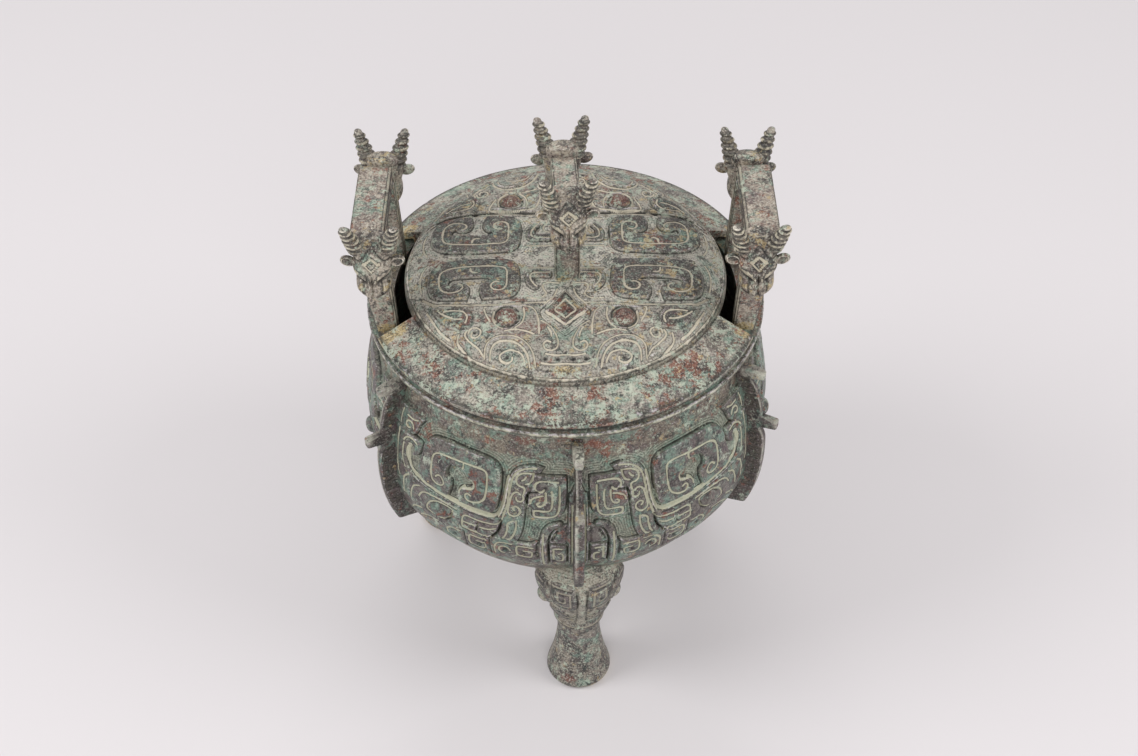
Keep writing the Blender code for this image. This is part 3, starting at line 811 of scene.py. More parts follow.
points = corners(third)
radius = np.hypot(points[:, 0], points[:, 1])
drops = EDGE - points[:, 2]
angles = np.arctan2(points[:, 0], -points[:, 1])
across = BODY_MM_PER_DEGREE * np.abs(np.degrees(angles))
outer = radius > body_radius(drops) - OUTER_SKIN
skin = np.nonzero(outer & (drops > SKIN_DROPS[0]) & (drops < SKIN_DROPS[1]))[0]
relief = drawn(
    across[skin], drops[skin], BELLY_PLATES, BELLY_RECESSES, BELLY_LOWER_PLATES, BELLY_EYES,
    BELLY_RIDGES, BELLY_LINES, BELLY_CUTS, BELLY_HOLES,
)
fade = eased((drops[skin] - RELIEF_DROPS[0]) / RELIEF_FADES[0])
fade = fade * eased((RELIEF_END - drops[skin]) / RELIEF_FADES[1])
slopes = body_lean(drops[skin])
rise = RELIEF_DEPTH * relief.height * fade / np.hypot(1.0, slopes)
radius[skin] += rise
drops[skin] -= rise * slopes
points = np.stack(around(radius, angles, EDGE - drops), axis=1)
put_back(third, points)
marks = drawing_marks(relief, skin, fade, len(points))
drops = EDGE - points[:, 2]
radius = np.hypot(points[:, 0], points[:, 1])
# a painted highlight along the rim's edge
marks["line"] += 0.41 * hump(radius - RIM_EDGE[0], 0.6) * (np.abs(drops - RIM_EDGE[1]) < 1.0)
# a painted shadow line under the lid's border
marks["dip"] += 0.8 * (radius > BORDER_SEAM[0]) * eased((BORDER_SEAM[1] - drops) / 0.6)
beside_ear = np.abs(np.abs(points[:, 1]) - EAR_EARTH[1]) < 6.0
marks["soil"] = 0.5 * beside_ear * (np.abs(points[:, 0]) > EAR_EARTH[0]) * (drops < EAR_EARTH[2])
turn = np.degrees(angles)
for strength, place, wide, drop, tall in NECK_RUST:
    marks["red"] += strength * hump(turn - place, wide) * hump(drops - drop, tall)
marked(third, **marks)

body_bronze = patina("body_bronze", hatch=0.5, speck=0.27)
repeated(third, "body_mask", 3, FLANGE_TURN, body_bronze)


# The three legs, cast with the body. Each is a round shank on a flared hoof, with a small
# mask where it swells into the belly: a ridged nose, squared spirals, eyes and leaf ears.

LEG_CIRCLE = 80.0
LEG_TURN = radians(4.4)
# columns stand closer together at the front
LEG_GRID = (96, 136)
LEG_CROWDING = 0.5
LEG_PROFILE = (
    (0, 16), (0.8, 16.9), (3, 17.8), (6.5, 17.2), (11, 16), (21, 13.7), (37, 11.6), (47.5, 12.3),
    (49.5, 13.4), (51.5, 13.9), (54.5, 13.7), (56.5, 13.6), (60, 15), (65, 16.8), (77, 20.4),
    (87, 22.8), (95, 22.5), (102, 19.5), (108, 13),
)
LEG_MM_PER_DEGREE = 0.35
# around the leg from its front, and up from the floor
LEG_PLATES = (
    (1.2, 0.8, ((3.4, 78), (14.4, 78), (15.4, 80), (15.4, 95), (13.6, 97.4), (4.4, 97.4), (3.2, 95))),
    (1.2, 0.8, ((18.2, 75), (26, 76), (28.6, 80), (28, 92), (24, 96), (18.2, 95))),
    (1, 0.8, ((8, 61.6), (14, 60.6), (21, 63.4), (21, 70), (14.6, 71), (8.4, 67.4))),
)
LEG_LINES = (
    ((4.8, 96), (13.4, 96), (13.8, 95.2), (13.8, 82.4), (13, 80.4), (6, 80.4), (5.4, 81.4),
        (5.4, 91.6), (6.2, 92.9), (10.8, 92.9), (11.2, 92), (11.2, 86), (10.4, 85), (8, 85.2),
        (8, 89.4)),
    ((19.8, 93.4), (24.6, 93.4), (26.2, 91), (26.6, 81.4), (24.4, 78.6), (19.8, 78.4), (19.6, 80.4),
        (19.8, 88.8), (22.8, 89.4), (23.6, 87.4), (23.2, 82.8)),
    ((3.4, 76.4), (8, 76.6), (13, 75.8), (17, 73.4)),
    ((3, 70.4), (5.2, 67), (8, 65.4), (12, 64.4), (16, 65.4), (19, 68)),
    ((3.2, 66.8), (5.6, 63.6), (9, 62), (13, 61.6), (18, 63.2)),
    ((2.6, 57.8), (6, 57.4), (12, 57.4), (24, 57.8)),
)
LEG_EYES = (((11.4, 73.0), (2.9, 1.8), 1.3),)
LEG_HOLES = (((5.0, 73.6), 1.5, 1.3), ((17.0, 93.0), 1.5, 1.4), ((8.6, 87.0), 0.9, 0.7),
             ((22.0, 84.4), 1.2, 0.8))
# up from the floor, half width and rise
NOSE = ((56.0, 3.6, 1.2), (60.0, 4.0, 2.4), (64.0, 2.4, 2.2), (78.0, 1.9, 2.0), (93.0, 1.7, 1.2))
# degrees from the front, height, half its size in degrees and in height, and rise
LEG_EAR = (82.0, 70.0, 13.5, 4.6, 4.0)
# the hollow over an ear: how far up, and depth
LEG_BROW = (8.0, 1.4)
LEG_RINGS = (49.2, 52.0, 54.6)
RING_DEPTH = 0.45
RING_WIDTH = 0.55
NOSE_ENDS = (55.5, 96.0)
# the hoof's rust mark: angle from the front and height, each with its spread
HOOF_RUST = (-0.42, 0.34, 8.0, 4.0)
# its pale edge: strength, height and spread
HOOF_EARTH = (0.62, 1.6, 2.6)


def open_edges(form):
    return [edge for edge in form.edges if edge.is_boundary]


def rolled(columns, rows, place):
    """A flat sheet of squares rolled into a closed form.

    place gives the three coordinates, in millimetres, of a sheet whose u and v run
    from 0 to 1. Edges that meet are joined, and open ends are closed.
    """
    form = bmesh.new()
    bmesh.ops.create_grid(form, x_segments=columns, y_segments=rows, size=1.0)
    mesh = bpy.data.meshes.new("rolled")
    form.to_mesh(mesh)
    u, v = (0.5 + 0.5 * MM * corners(mesh)[:, axis] for axis in range(2))
    put_back(mesh, np.stack(place(u, v), axis=1))
    form.clear()
    form.from_mesh(mesh)
    bmesh.ops.remove_doubles(form, verts=form.verts, dist=0.000004)
    bmesh.ops.holes_fill(form, edges=open_edges(form), sides=0)
    bmesh.ops.recalc_face_normals(form, faces=form.faces)
    form.to_mesh(mesh)
    form.free()
    return mesh


def along(line, share):
    """The columns of a line, read at shares of its length in the first two."""
    run = np.concatenate([[0.0], np.cumsum(np.hypot(*np.diff(line[:, :2], axis=0).T))])
    return [np.interp(share * run[-1], run, line[:, column]) for column in range(line.shape[1])]


def leg_place(u, v):
    height, radius = along(curve(LEG_PROFILE, steps=12), v)
    angle = 2 * pi * u - LEG_CROWDING * np.sin(2 * pi * u)
    return around(radius, angle, height)


leg = rolled(*LEG_GRID, leg_place)
points = corners(leg)
radius = np.hypot(points[:, 0], points[:, 1])
angles = np.arctan2(points[:, 0], -points[:, 1])
height = points[:, 2].copy()
across = LEG_MM_PER_DEGREE * np.abs(np.degrees(angles))
relief = drawn(across, height, LEG_PLATES, lines=LEG_LINES, holes=LEG_HOLES, eyes=LEG_EYES)
rise = relief.height
nose = np.array(NOSE).T
width = np.interp(height, nose[0], nose[1])
bridge = np.interp(height, nose[0], nose[2]) * eased((height - NOSE_ENDS[0]) / 1.5)
bridge *= eased((NOSE_ENDS[1] - height) / 4.0)
rise = np.maximum(rise, bridge * np.clip(1.0 - (across / width) ** 2, 0.0, 1.0) ** 0.6)
ear_angle, ear_height, ear_wide, ear_tall, ear_rise = LEG_EAR
share = ((np.abs(np.degrees(angles)) - ear_angle) / ear_wide) ** 2
share = share + ((height - ear_height) / ear_tall) ** 2
rise = rise + ear_rise * np.sqrt(np.clip(1.0 - share, 0.0, 1.0))
brow = np.exp(-((height - ear_height - LEG_BROW[0]) ** 2) / 5.0) * np.exp(-share / 6.0)
rise = rise - LEG_BROW[1] * brow
for ring in LEG_RINGS:
    rise = rise - RING_DEPTH * hump(height - ring, RING_WIDTH)
inlay = np.maximum(relief.line, 0.8 * hump(height - LEG_RINGS[1], 0.6))
radius = np.where(radius > 4.0, radius + rise, radius)
points = np.stack(around(radius, angles, height), axis=1)
points[:, 1] -= LEG_CIRCLE
# the top is let into the middle of the body's wall
low_side = body_line[body_line[:, 1].argmax():][::-1]
reach = np.hypot(points[:, 0], points[:, 1])
floor_drop = np.interp(reach, low_side[:, 1], low_side[:, 0]) - 0.5 * WALL
drops = np.maximum(EDGE - points[:, 2], np.where(reach < 104.0, floor_drop, 0.0))
points[:, 2] = EDGE - drops
put_back(leg, points)
foot_edge = HOOF_EARTH[0] * hump(height - HOOF_EARTH[1], HOOF_EARTH[2])
foot_edge = foot_edge * eased(np.sin(angles) + 0.5)
# a painted shade line beside the nose ridge
nose_side = hump(across - width - 0.5, 0.5) * (bridge > 0.3)
marked(
    leg, raised=relief.raised, line=inlay, dip=np.maximum(relief.dip, 0.7 * nose_side),
    ground=relief.ground, soil=0.25 * (across < width) * (bridge > 0.3) + foot_edge,
    red=0.75 * hump(angles - HOOF_RUST[0], HOOF_RUST[1]) * hump(height - HOOF_RUST[2], HOOF_RUST[3]),
    field=(1.0 - relief.raised) * eased((height - 56.0) / 4.0),
)

leg_bronze = patina(
    "leg_bronze", ((144, 136, 124), (84, 78, 76)), (194, 188, 170), (214, 206, 182),
    teal=0.14, tan=0.05, rust=0.04, mint=0.14, char=0.27, inlaid=0.45, speck=0.40,
)
repeated(leg, "leg", 3, LEG_TURN, leg_bronze)


# Six upright flanges, cast with the body: one over each leg and one on each mould joint
# between. Each ends in a worn hook at the neck, has a square peg, and is scored on both
# faces.

# drop and thickness
FIN_THICKNESS = ((15.0, 4.6), (22.0, 3.2), (44.0, 3.2), (52.0, 4.6), (62.0, 5.2), (104.0, 5.4),
                 (115.0, 4.6))
FIN_EDGE = 114.0
FIN_MIDDLE = 72.0
FIN_BOW = 0.00355
FIN_TOP = 15.2
FIN_FOOT = 115.0
FIN_RISE = 3.6
# drop, reach from the axis and height of the two bars that stand out
HOOK = (17.8, 110.5, 5.2)
HOOK_HALF_WIDTH = 2.7
PEG = (48.5, 119.5, 5.6)
PEG_HALF_WIDTH = 2.3
FIN_FILLET = 1.8
FIN_ROOT = 1.6
HOOK_END = 21.6
FIN_COLUMNS = 30
FIN_ROWS = 116
# once round a flange: share of the way, share of its reach, side, and the side where the
# hook's end is round
FIN_SECTION = (
    (0, 0, 1, 1), (0.30, 0.66, 1, 1), (0.36, 0.80, 1, 0.92), (0.42, 0.955, 1, 0.72),
    (0.46, 1, 0.72, 0.3), (0.54, 1, -0.72, -0.3), (0.58, 0.955, -1, -0.72),
    (0.64, 0.80, -1, -0.92), (0.70, 0.66, -1, -1), (1 - 1 / FIN_COLUMNS, 0, -1, -1), (1, 0, 1, 1),
)
# the scored marks: drops of their middles, and one of them, out from the body and down
FIN_MARKS = (25.5, 36.5, 59.5, 70.5, 81.5, 92.5)
FIN_MARK = (
    ((3.6, -3.6), (8, -3.6), (8.6, -2.8), (8.6, 2.8), (8, 3.6), (3.6, 3.6)),
    ((5.2, 0), (8.4, 0)),
    ((3.4, -1.8), (5.2, -1.8), (5.2, 1.8), (3.4, 1.8)),
)
BAR_EDGE = 0.7


def on_bar(drop, middle, size):
    return eased((0.5 * (size + BAR_EDGE) - np.abs(drop - middle)) / BAR_EDGE)


def fin_reach(drop):
    edge = FIN_EDGE - FIN_BOW * (drop - FIN_MIDDLE) ** 2
    for middle, reach, size in (HOOK, PEG):
        share = on_bar(drop, middle, size)
        edge = edge - FIN_FILLET * hump(drop - middle - 0.9 * size, 4.0)
        edge = edge + (reach - edge) * share
    return edge


def fin_place(u, v):
    drop = FIN_TOP + (FIN_FOOT - FIN_TOP) * v
    inner = body_radius(drop) - FIN_ROOT
    outer = fin_reach(drop)
    bar = np.zeros_like(drop)
    for middle, _, size in (HOOK, PEG):
        bar = np.maximum(bar, on_bar(drop, middle, size))
    half = 0.5 * np.interp(drop, *np.array(FIN_THICKNESS).T)
    half = half + (PEG_HALF_WIDTH - half) * bar
    share = on_bar(drop, HOOK[0], HOOK[2])
    half = half + (HOOK_HALF_WIDTH - half) * share
    stops, *columns = np.array(FIN_SECTION).T
    out, side, round_side = (np.interp(u, stops, column) for column in columns)
    side = side + (round_side - side) * share
    lift = FIN_RISE * out * v**6
    return half * side, -inner - (outer - inner) * out, EDGE - drop + lift


fin = rolled(FIN_COLUMNS, FIN_ROWS, fin_place)
points = corners(fin)
drops = EDGE - points[:, 2]
reach = -points[:, 1]
scored = [
    [(out, middle + down) for out, down in line] for middle in FIN_MARKS for line in FIN_MARK
]
relief = drawn(reach - body_radius(drops), drops, lines=scored)
flat_side = eased((fin_reach(drops) - reach - 0.2) / 0.5) * np.sign(points[:, 0])
points[:, 0] += relief.height * flat_side
# the crest is pale only on one side, as a painted highlight on its lit face; the hook's top is worn
# pale
crest = eased((reach - fin_reach(drops) + 0.6) / 0.5)
hooked = eased(HOOK_END - drops) * eased((reach - body_radius(drops) - 3.0) / 2.0)
crest = crest * eased((-0.5 - points[:, 0]) / 0.7)
crest = np.maximum(crest, hooked)
peg_tip = hump(drops - PEG[0] + 1.6, 2.0) * eased((reach - PEG[1] + 2.4) / 1.2)
points[:, 1] += 0.45 * crest * hump(points[:, 0], 0.8)
put_back(fin, points)
marked(fin, line=relief.line * np.abs(flat_side), raised=np.maximum(crest, peg_tip))
# the flanges' metal is made darker than the body's: painted shade on their side faces
fin_bronze_with_painted_shade = patina(
    "fin_bronze_with_painted_shade", ((88, 79, 76), (56, 50, 48)), line=(104, 98, 88),
    plates=((200, 200, 184), (150, 144, 134)), teal=0.14, rust=0.08, mint=0.06, inlaid=0.5,
)
repeated(fin, "flange", 6, FLANGE_TURN, fin_bronze_with_painted_shade)


# Two square-shouldered ears of the same bronze that stand on the rim, through the notches
# in the lid's edge. They were cast on with the body, and their cheeks are grooved.

EAR_HALF_SPAN = 31.0
EAR_RISE = 56.0
EAR_BAND = 9.0
EAR_ROOT = 6.0
EAR_FOOT_X = (82.8, 93.0)
EAR_TOP_X = (85.5, 102.0)
STRAP_CORNER = 0.24
STRAP_BEND = 1.2
# across the cheek, in halves of its breadth: the scored lines, and half the slot's width
SCORE_PLACE = 0.5
SCORE_WIDTH = 0.2
SLOT_WIDTH = 0.26
SLOT_LENGTH = 0.42
SCORE_DEPTH = 0.8
SLOT_DEPTH = 2.2
EAR_GRID = (56, 132)


def section(share, corner):
    """A rounded square, from -1 to 1 both ways, read at shares of its length."""
    outline = []
    for quarter, (x, y) in enumerate(((1, 1), (-1, 1), (-1, -1), (1, -1))):
        for step in range(5):
            turn = (quarter + step / 4) * pi / 2
            flat = 1 - corner
            outline.append((x * flat + corner * cos(turn), y * flat + corner * sin(turn)))
    return along(np.array([*outline, outline[0]]), share)


def loop(half_span, rise, band, foot_x, top_x, grid):
    """A loop in the plane across X that stands on z = 0, as a strap bent round two corners.

    foot_x and top_x are where its two cheeks stand along X, at the foot and at the top.
    """
    corner = band + STRAP_BEND
    post = rise - corner
    bend = pi / 2 * corner
    length = 2 * (post + bend + half_span - corner)

    def cheeks(z):
        share = z / rise
        near = foot_x[0] + (top_x[0] - foot_x[0]) * share
        return near, foot_x[1] + (top_x[1] - foot_x[1]) * share

    def grooves(inward, y, z):
        """Two lines scored along a cheek, and the slot across its top."""
        slot = hump(inward, SLOT_WIDTH) * eased((SLOT_LENGTH * half_span - y) / 2.0) * (z > post)
        return hump(np.abs(inward) - SCORE_PLACE, SCORE_WIDTH), slot

    def place(u, v):
        travel = length * v
        run = np.minimum(travel, length - travel)
        side = np.where(travel <= length / 2, 1.0, -1.0)
        across, inward = section(u, STRAP_CORNER)
        inset = 0.5 * band * (1.0 - inward)
        angle = np.clip((run - post) / corner, 0.0, pi / 2)
        reach = corner - inset
        y = half_span - corner + reach * np.cos(angle) - np.maximum(run - post - bend, 0.0)
        z = np.minimum(run, post) + reach * np.sin(angle)
        near, far = cheeks(z)
        cheek = np.sign(across) * eased((np.abs(across) - 0.9) / 0.08)
        score, slot = grooves(inward, y, z)
        depth = cheek * (SCORE_DEPTH * score + SLOT_DEPTH * slot)
        return 0.5 * (near + far) + 0.5 * (far - near) * across - depth, side * y, z

    mesh = rolled(*grid, place)
    x, y, z = corners(mesh).T
    y = np.abs(y)
    turn_y = half_span - corner
    inset = np.minimum(rise - z, half_span - y)
    round_part = (y > turn_y) & (z > post)
    inset = np.where(round_part, corner - np.hypot(y - turn_y, z - post), inset)
    inward = 1.0 - 2.0 * inset / band
    near, far = cheeks(z)
    cheek = eased((np.abs(2.0 * x - near - far) / (far - near) - 0.62) / 0.12)
    score, slot = grooves(inward, y, z)
    cheek = cheek * (np.abs(inward) < 0.97)
    streak = eased((np.sin(0.55 * y + 1.9) - 0.2) / 0.6) * (z > post)
    # painted shadow in the scored lines and the slot
    marked(
        mesh, dip=cheek * np.minimum(0.5 * score + 0.95 * slot, 1.0),
        line=0.42 * cheek * (1.0 - score) * (1.0 - slot), red=0.36 * streak * (1.0 - cheek),
        soil=0.6 * eased((EAR_ROOT + 5.0 - z) / 6.0) * (foot_x[0] > 0.0),
    )
    return mesh


def mirrored(mesh):
    other = mesh.copy()
    other.transform(Matrix.Scale(-1, 4, (1, 0, 0)))
    other.flip_normals()
    return other


ear_bronze = patina(
    "ear_bronze", ((172, 160, 146), (116, 103, 96)), line=(196, 188, 168), teal=0.24, rust=0.12,
    mint=0.12, tan=0.06, speck=0.40,
)
mesh = loop(EAR_HALF_SPAN, EAR_RISE + EAR_ROOT, EAR_BAND, EAR_FOOT_X, EAR_TOP_X, EAR_GRID)
mesh.transform(Matrix.Translation((0.0, 0.0, (EDGE - EAR_ROOT) * MM)))
finished(link("ear_left", mirrored(mesh)), ear_bronze, "vessel")
finished(link("ear_right", mesh), ear_bronze, "vessel")


# Six small ram's heads: one on each shoulder of the ears and of the lid's handle, facing
# out. Cast in one with their straps, each with a framed diamond, brows and ribbed horns.

SKULL_BACK = -8.6
# height, half width and where the front is, from the crown down to the chin
SKULL_PROFILE = (
    (1.3, 0.6, -5.4), (1.2, 4.6, -2), (0.6, 7, 0.8), (-1.4, 8.2, 3.2), (-5, 8.6, 5), (-11, 9.4, 8),
    (-13.6, 9, 8.8), (-16.5, 8.2, 9.4), (-20.5, 8.4, 10.4), (-24, 8.4, 10.8), (-26.4, 7.4, 9.8),
    (-27.8, 5.2, 6.4), (-28.2, 0.6, 0.4),
)
SKULL_GRID = (72, 58)
HORN_FOOT = (6.4, -1.2, -6.4)
HORN_TIP = (11.6, 4.0, 10.6)
# how thick a horn is at shares of its length
HORN_SHARES = (0.0, 0.5, 0.94, 1.0, 1.04, 1.06)
HORN_RADII = (4.6, 3.7, 2.4, 2.0, 1.1, 0.0)
HORN_RIBS = 5.6
RIB_HEIGHT = 0.55
RIB_DIP = 0.035
HORN_GRID = (30, 40)
LEAF_PLACE = (11.6, 1.0, -10.8)
LEAF_SIZE = (3.9, 2.0, 2.9)
LEAF_HOLLOW = 1.5
LEAF_TILT = radians(22)
LEAF_GRID = (36, 22)
# half a face: out from the middle, and how high, 0 at the crown
FACE_PLATES = (
    (1.1, 0.5, ((-3, -5.6), (0, -5.2), (0, -5.2), (4.2, -8.8), (4.2, -8.8), (0, -12.4), (0, -12.4),
        (-3, -12))),
    (2.1, 1.2, ((0.9, -15.8), (2.4, -13.4), (4.8, -12.2), (8, -11.8), (10.8, -9.4), (11.6, -11.6),
        (9.2, -13.9), (6, -14.5), (3.4, -15.6), (1.8, -17.6))),
    (1.2, 0.8, ((0.7, -14.6), (1.6, -15.6), (2.2, -19), (3.6, -23.6), (3, -25.6), (0.8, -25.6))),
)
FACE_RECESSES = (
    ((-2, -7.2), (0, -6.8), (0, -6.8), (2.4, -8.8), (2.4, -8.8), (0, -10.8), (0, -10.8), (-2, -10.4)),
)
FACE_LINES = (((0.0, -5.9), (3.4, -8.8), (3.4, -8.8), (0.0, -11.7)),)
FACE_CUTS = (
    (1.6, 0.8, ((2.8, -18.2), (4.6, -16.8), (7.2, -15.8), (9.8, -15.2))),
    (0.9, 0.5, ((1.2, -2.6), (3, -5.2), (6, -8.2), (9, -8.4))),
    (0.9, 0.5, ((4.2, -18.4), (4.6, -21), (4.2, -23.6))),
    (0.9, 0.45, ((2.6, -25.4), (4.6, -25), (6.6, -24))),
)
FACE_BOSSES = (
    ((6.4, -17.2), (2.2, 1.1), 1.2),
    ((6.2, -21.6), (3, 2.9), 1.5),
)
# places coloured apart: painted shade under the mouth, in the groove down the bridge and in the eye
# sockets, and earth on the jowls; heights, or out and height
MOUTH_HEIGHT = -26.2
BRIDGE_HEIGHTS = (-13.6, -21.0)
SOCKET = (6.0, -15.4)
JOWL = (3.6, -21.0)


def skull_place(u, v):
    height, half_width, front = along(curve(SKULL_PROFILE, steps=12), v)
    angle = 2 * pi * u
    middle = 0.5 * (front + SKULL_BACK)
    depth = 0.5 * (front - SKULL_BACK)
    return half_width * np.sin(angle), middle - depth * np.cos(angle), height


def skull():
    mesh = rolled(*SKULL_GRID, skull_place)
    points = corners(mesh)
    face = drawn(
        np.abs(points[:, 0]), points[:, 2], FACE_PLATES, FACE_RECESSES, eyes=FACE_BOSSES,
        lines=FACE_LINES, cuts=FACE_CUTS,
    )
    front = eased((points[:, 1] - 0.2) / 2.5)
    points[:, 1] += face.height * front
    put_back(mesh, points)
    across = np.abs(points[:, 0])
    height = points[:, 2]
    mouth = eased(MOUTH_HEIGHT - height)
    bridge = 0.5 * hump(across, 0.7) * eased(BRIDGE_HEIGHTS[0] - height)
    bridge *= eased((height - BRIDGE_HEIGHTS[1]) / 2.0)
    socket = 0.7 * hump(across - SOCKET[0], 3.0) * hump(height - SOCKET[1] + 0.2 * across, 0.7)
    jowl = hump(height - JOWL[1], 3.2) * eased(across - JOWL[0])
    # ridge tops rubbed pale and given a painted highlight; painted shade in the hollows, under the
    # mouth, down the bridge and in the sockets
    ridge = 0.42 * eased((face.height - 1.3) / 0.6)
    hollow = 0.8 * eased((-0.3 - face.height) / 0.7)
    return mesh, {
        "line": np.maximum(0.9 * face.line, ridge) * front,
        "dip": 0.8 * np.clip((mouth + bridge + socket + hollow) * front, 0.0, 1.0),
        "soil": 0.5 * jowl * front,
    }


def horn_ribs(share, angle):
    """Rings that dip at the front, strong there and weaker behind."""
    wave = np.cos(2 * pi * HORN_RIBS * (share + RIB_DIP * np.cos(angle)) + 0.4)
    return wave, 0.55 + 0.45 * eased(0.75 + 0.5 * np.cos(angle))


def horn_place(u, v):
    foot = Vector(HORN_FOOT)
    tip = Vector(HORN_TIP)
    share = HORN_SHARES[-1] * v
    radius = np.interp(share, HORN_SHARES, HORN_RADII)
    angle = 2 * pi * u
    ribs, front = horn_ribs(share, angle)
    radius = radius + RIB_HEIGHT * ribs * front * eased((1.02 - share) / 0.1) * (radius > 0.5)
    x = foot.x + (tip.x - foot.x) * share + radius * np.sin(angle)
    y = foot.y + (tip.y - foot.y) * share + radius * np.cos(angle)
    z = foot.z + (tip.z - foot.z) * share
    return x, y, z


def horn():
    mesh = rolled(*HORN_GRID, horn_place)
    points = corners(mesh)
    share = (points[:, 2] - HORN_FOOT[2]) / (HORN_TIP[2] - HORN_FOOT[2])
    y = points[:, 1] - HORN_FOOT[1] - (HORN_TIP[1] - HORN_FOOT[1]) * share
    x = points[:, 0] - HORN_FOOT[0] - (HORN_TIP[0] - HORN_FOOT[0]) * share
    ribs, front = horn_ribs(share, np.arctan2(x, y))
    below_tip = eased((1.0 - share) / 0.1)
    # rib crests rubbed pale and given a painted highlight, more at the front; painted shade between
    # the ribs
    return mesh, {
        "line": 0.38 * eased((ribs + 0.75) / 0.9) * (0.6 + 0.4 * front) * below_tip,
        "dip": 0.62 * eased((-ribs - 0.5) / 0.4) * front * below_tip,
        "raised": np.full(len(points), 0.5),
    }


def leaf_place(u, v):
    turn = 2 * pi * u
    swing = pi * (v - 0.5)
    cup = np.cos(swing)
    x = LEAF_SIZE[0] * np.sin(swing)
    y = LEAF_SIZE[1] * cup * np.cos(turn)
    z = LEAF_SIZE[2] * cup * np.sin(turn)
    hollow = np.clip(1.0 - (x / (0.78 * LEAF_SIZE[0])) ** 2 - (z / (0.74 * LEAF_SIZE[2])) ** 2, 0, 1)
    y = y - LEAF_HOLLOW * np.sqrt(hollow) * (np.cos(turn) > 0) * eased(hollow / 0.3)
    return x, y, z


def leaf_ear():
    mesh = rolled(*LEAF_GRID, leaf_place)
    points = corners(mesh)
    share = np.hypot(points[:, 0] / LEAF_SIZE[0], points[:, 2] / LEAF_SIZE[2])
    dip = eased((0.62 - share) / 0.3) * (points[:, 1] > -1.6)
    mesh.transform(Matrix.Rotation(-LEAF_TILT, 4, "Y"))
    mesh.transform(Matrix.Translation(Vector(LEAF_PLACE) * MM))
    # painted shade in the leaf's hollow, and a painted highlight round its rim
    return mesh, {"dip": 0.5 * dip, "line": 0.12 * eased((share - 0.7) / 0.2)}


form = bmesh.new()
for mesh, marks, pair in ((*skull(), False), (*horn(), True), (*leaf_ear(), True)):
    marked(mesh, **marks)
    form.from_mesh(mesh)
    if pair:
        form.from_mesh(mirrored(mesh))
head = meshed("ram_head", form)
head_bronze = patina(
    "head_bronze", ((176, 165, 150), (76, 68, 64)), line=(222, 212, 186), worn_and_highlight=(242, 234, 218),
    teal=0.08, rust=0.08, plum=0.16, mint=0.10, char=0.24, tan=0.10, inlaid=0.72, speck=0.40,
)
EAR_HEAD_X = 90.8
EAR_HEAD_Y = EAR_HALF_SPAN + 3.2
EAR_HEAD_Z = EAR_RISE + 0.5


def head_piece(name, x, y, z, turn, node):
    mesh = head.copy()
    mesh.transform(Matrix.Rotation(0.0 if y > 0 else pi, 4, "Z"))
    mesh.transform(Matrix.Translation((x * MM, y * MM, (EDGE + z) * MM)))
    mesh.transform(Matrix.Rotation(turn, 4, "Z"))
    finished(link(name, mesh), head_bronze, node)


for side, place in ((1, "right"), (-1, "left")):
    for end, name in ((-1, "front"), (1, "back")):
        head_piece(
            f"ear_{place}_ram_{name}", side * EAR_HEAD_X, end * EAR_HEAD_Y, EAR_HEAD_Z, 0.0,
            "vessel",
        )


# The lid, a second casting: a low dome with two masks that face away from each other, in
# plates and lines over the ground, inside a broad sloping border. A deep ring under it
# enters the mouth. The border is cut away at both sides to pass the ears.

LID_STEPS = 284
DISC_RADIUS = 81.0
DISC_MARGIN = (1.6, 1.8)
DOME_RIDGE = 79.5
DOME_SEAM = 80.8
DOME = ((0, 18), (30, 17.7), (52, 16.8), (65, 15.5), (72, 13.8), (77.5, 11), (81, 7.5))
# radius and rise of the fine ridges and the seam round the dome
DISC_RINGS = ((76.4, -0.3), (78.2, -0.45), (DOME_RIDGE, 0.6), (DISC_RADIUS, -0.8))
# radius and depth
DISC_UNDER = ((81.0, 4.3), (76.0, 8.6), (66.0, 12.0), (45.0, 14.0), (20.0, 14.6), (6.0, 14.8))
# a quarter of the dome: out along the ears' axis, and towards the front
LID_PLATES = (
    # great C-shaped horn
    (1.9, 0.9, ((22.6, 16), (23.4, 8.6), (25.6, 4.8), (30, 3.4), (40, 2.8), (50, 2.9), (58, 3.5),
        (64, 6.2), (67.4, 11), (68, 18), (66.8, 25), (63.5, 29), (57, 30.6), (49, 31.2), (49, 31.2),
        (40, 31.4), (40, 31.4), (32, 31.2), (26, 29.8), (23.2, 26), (22.4, 21))),
)
LID_RECESSES = (
    ((36.6, 17.4), (40, 15.9), (48, 15.9), (55.8, 16.5), (57.7, 18.5), (57.3, 21), (55.8, 21.6),
        (54.4, 20.2), (51, 19.8), (48.6, 20.9), (47.2, 23.8), (47.3, 27.2), (48.6, 33.4), (48.6, 33.4),
        (39.6, 33.4), (39.6, 33.4), (41.4, 28), (41.8, 24.5), (41, 21.2), (39.2, 19.3), (37, 18.6)),
)
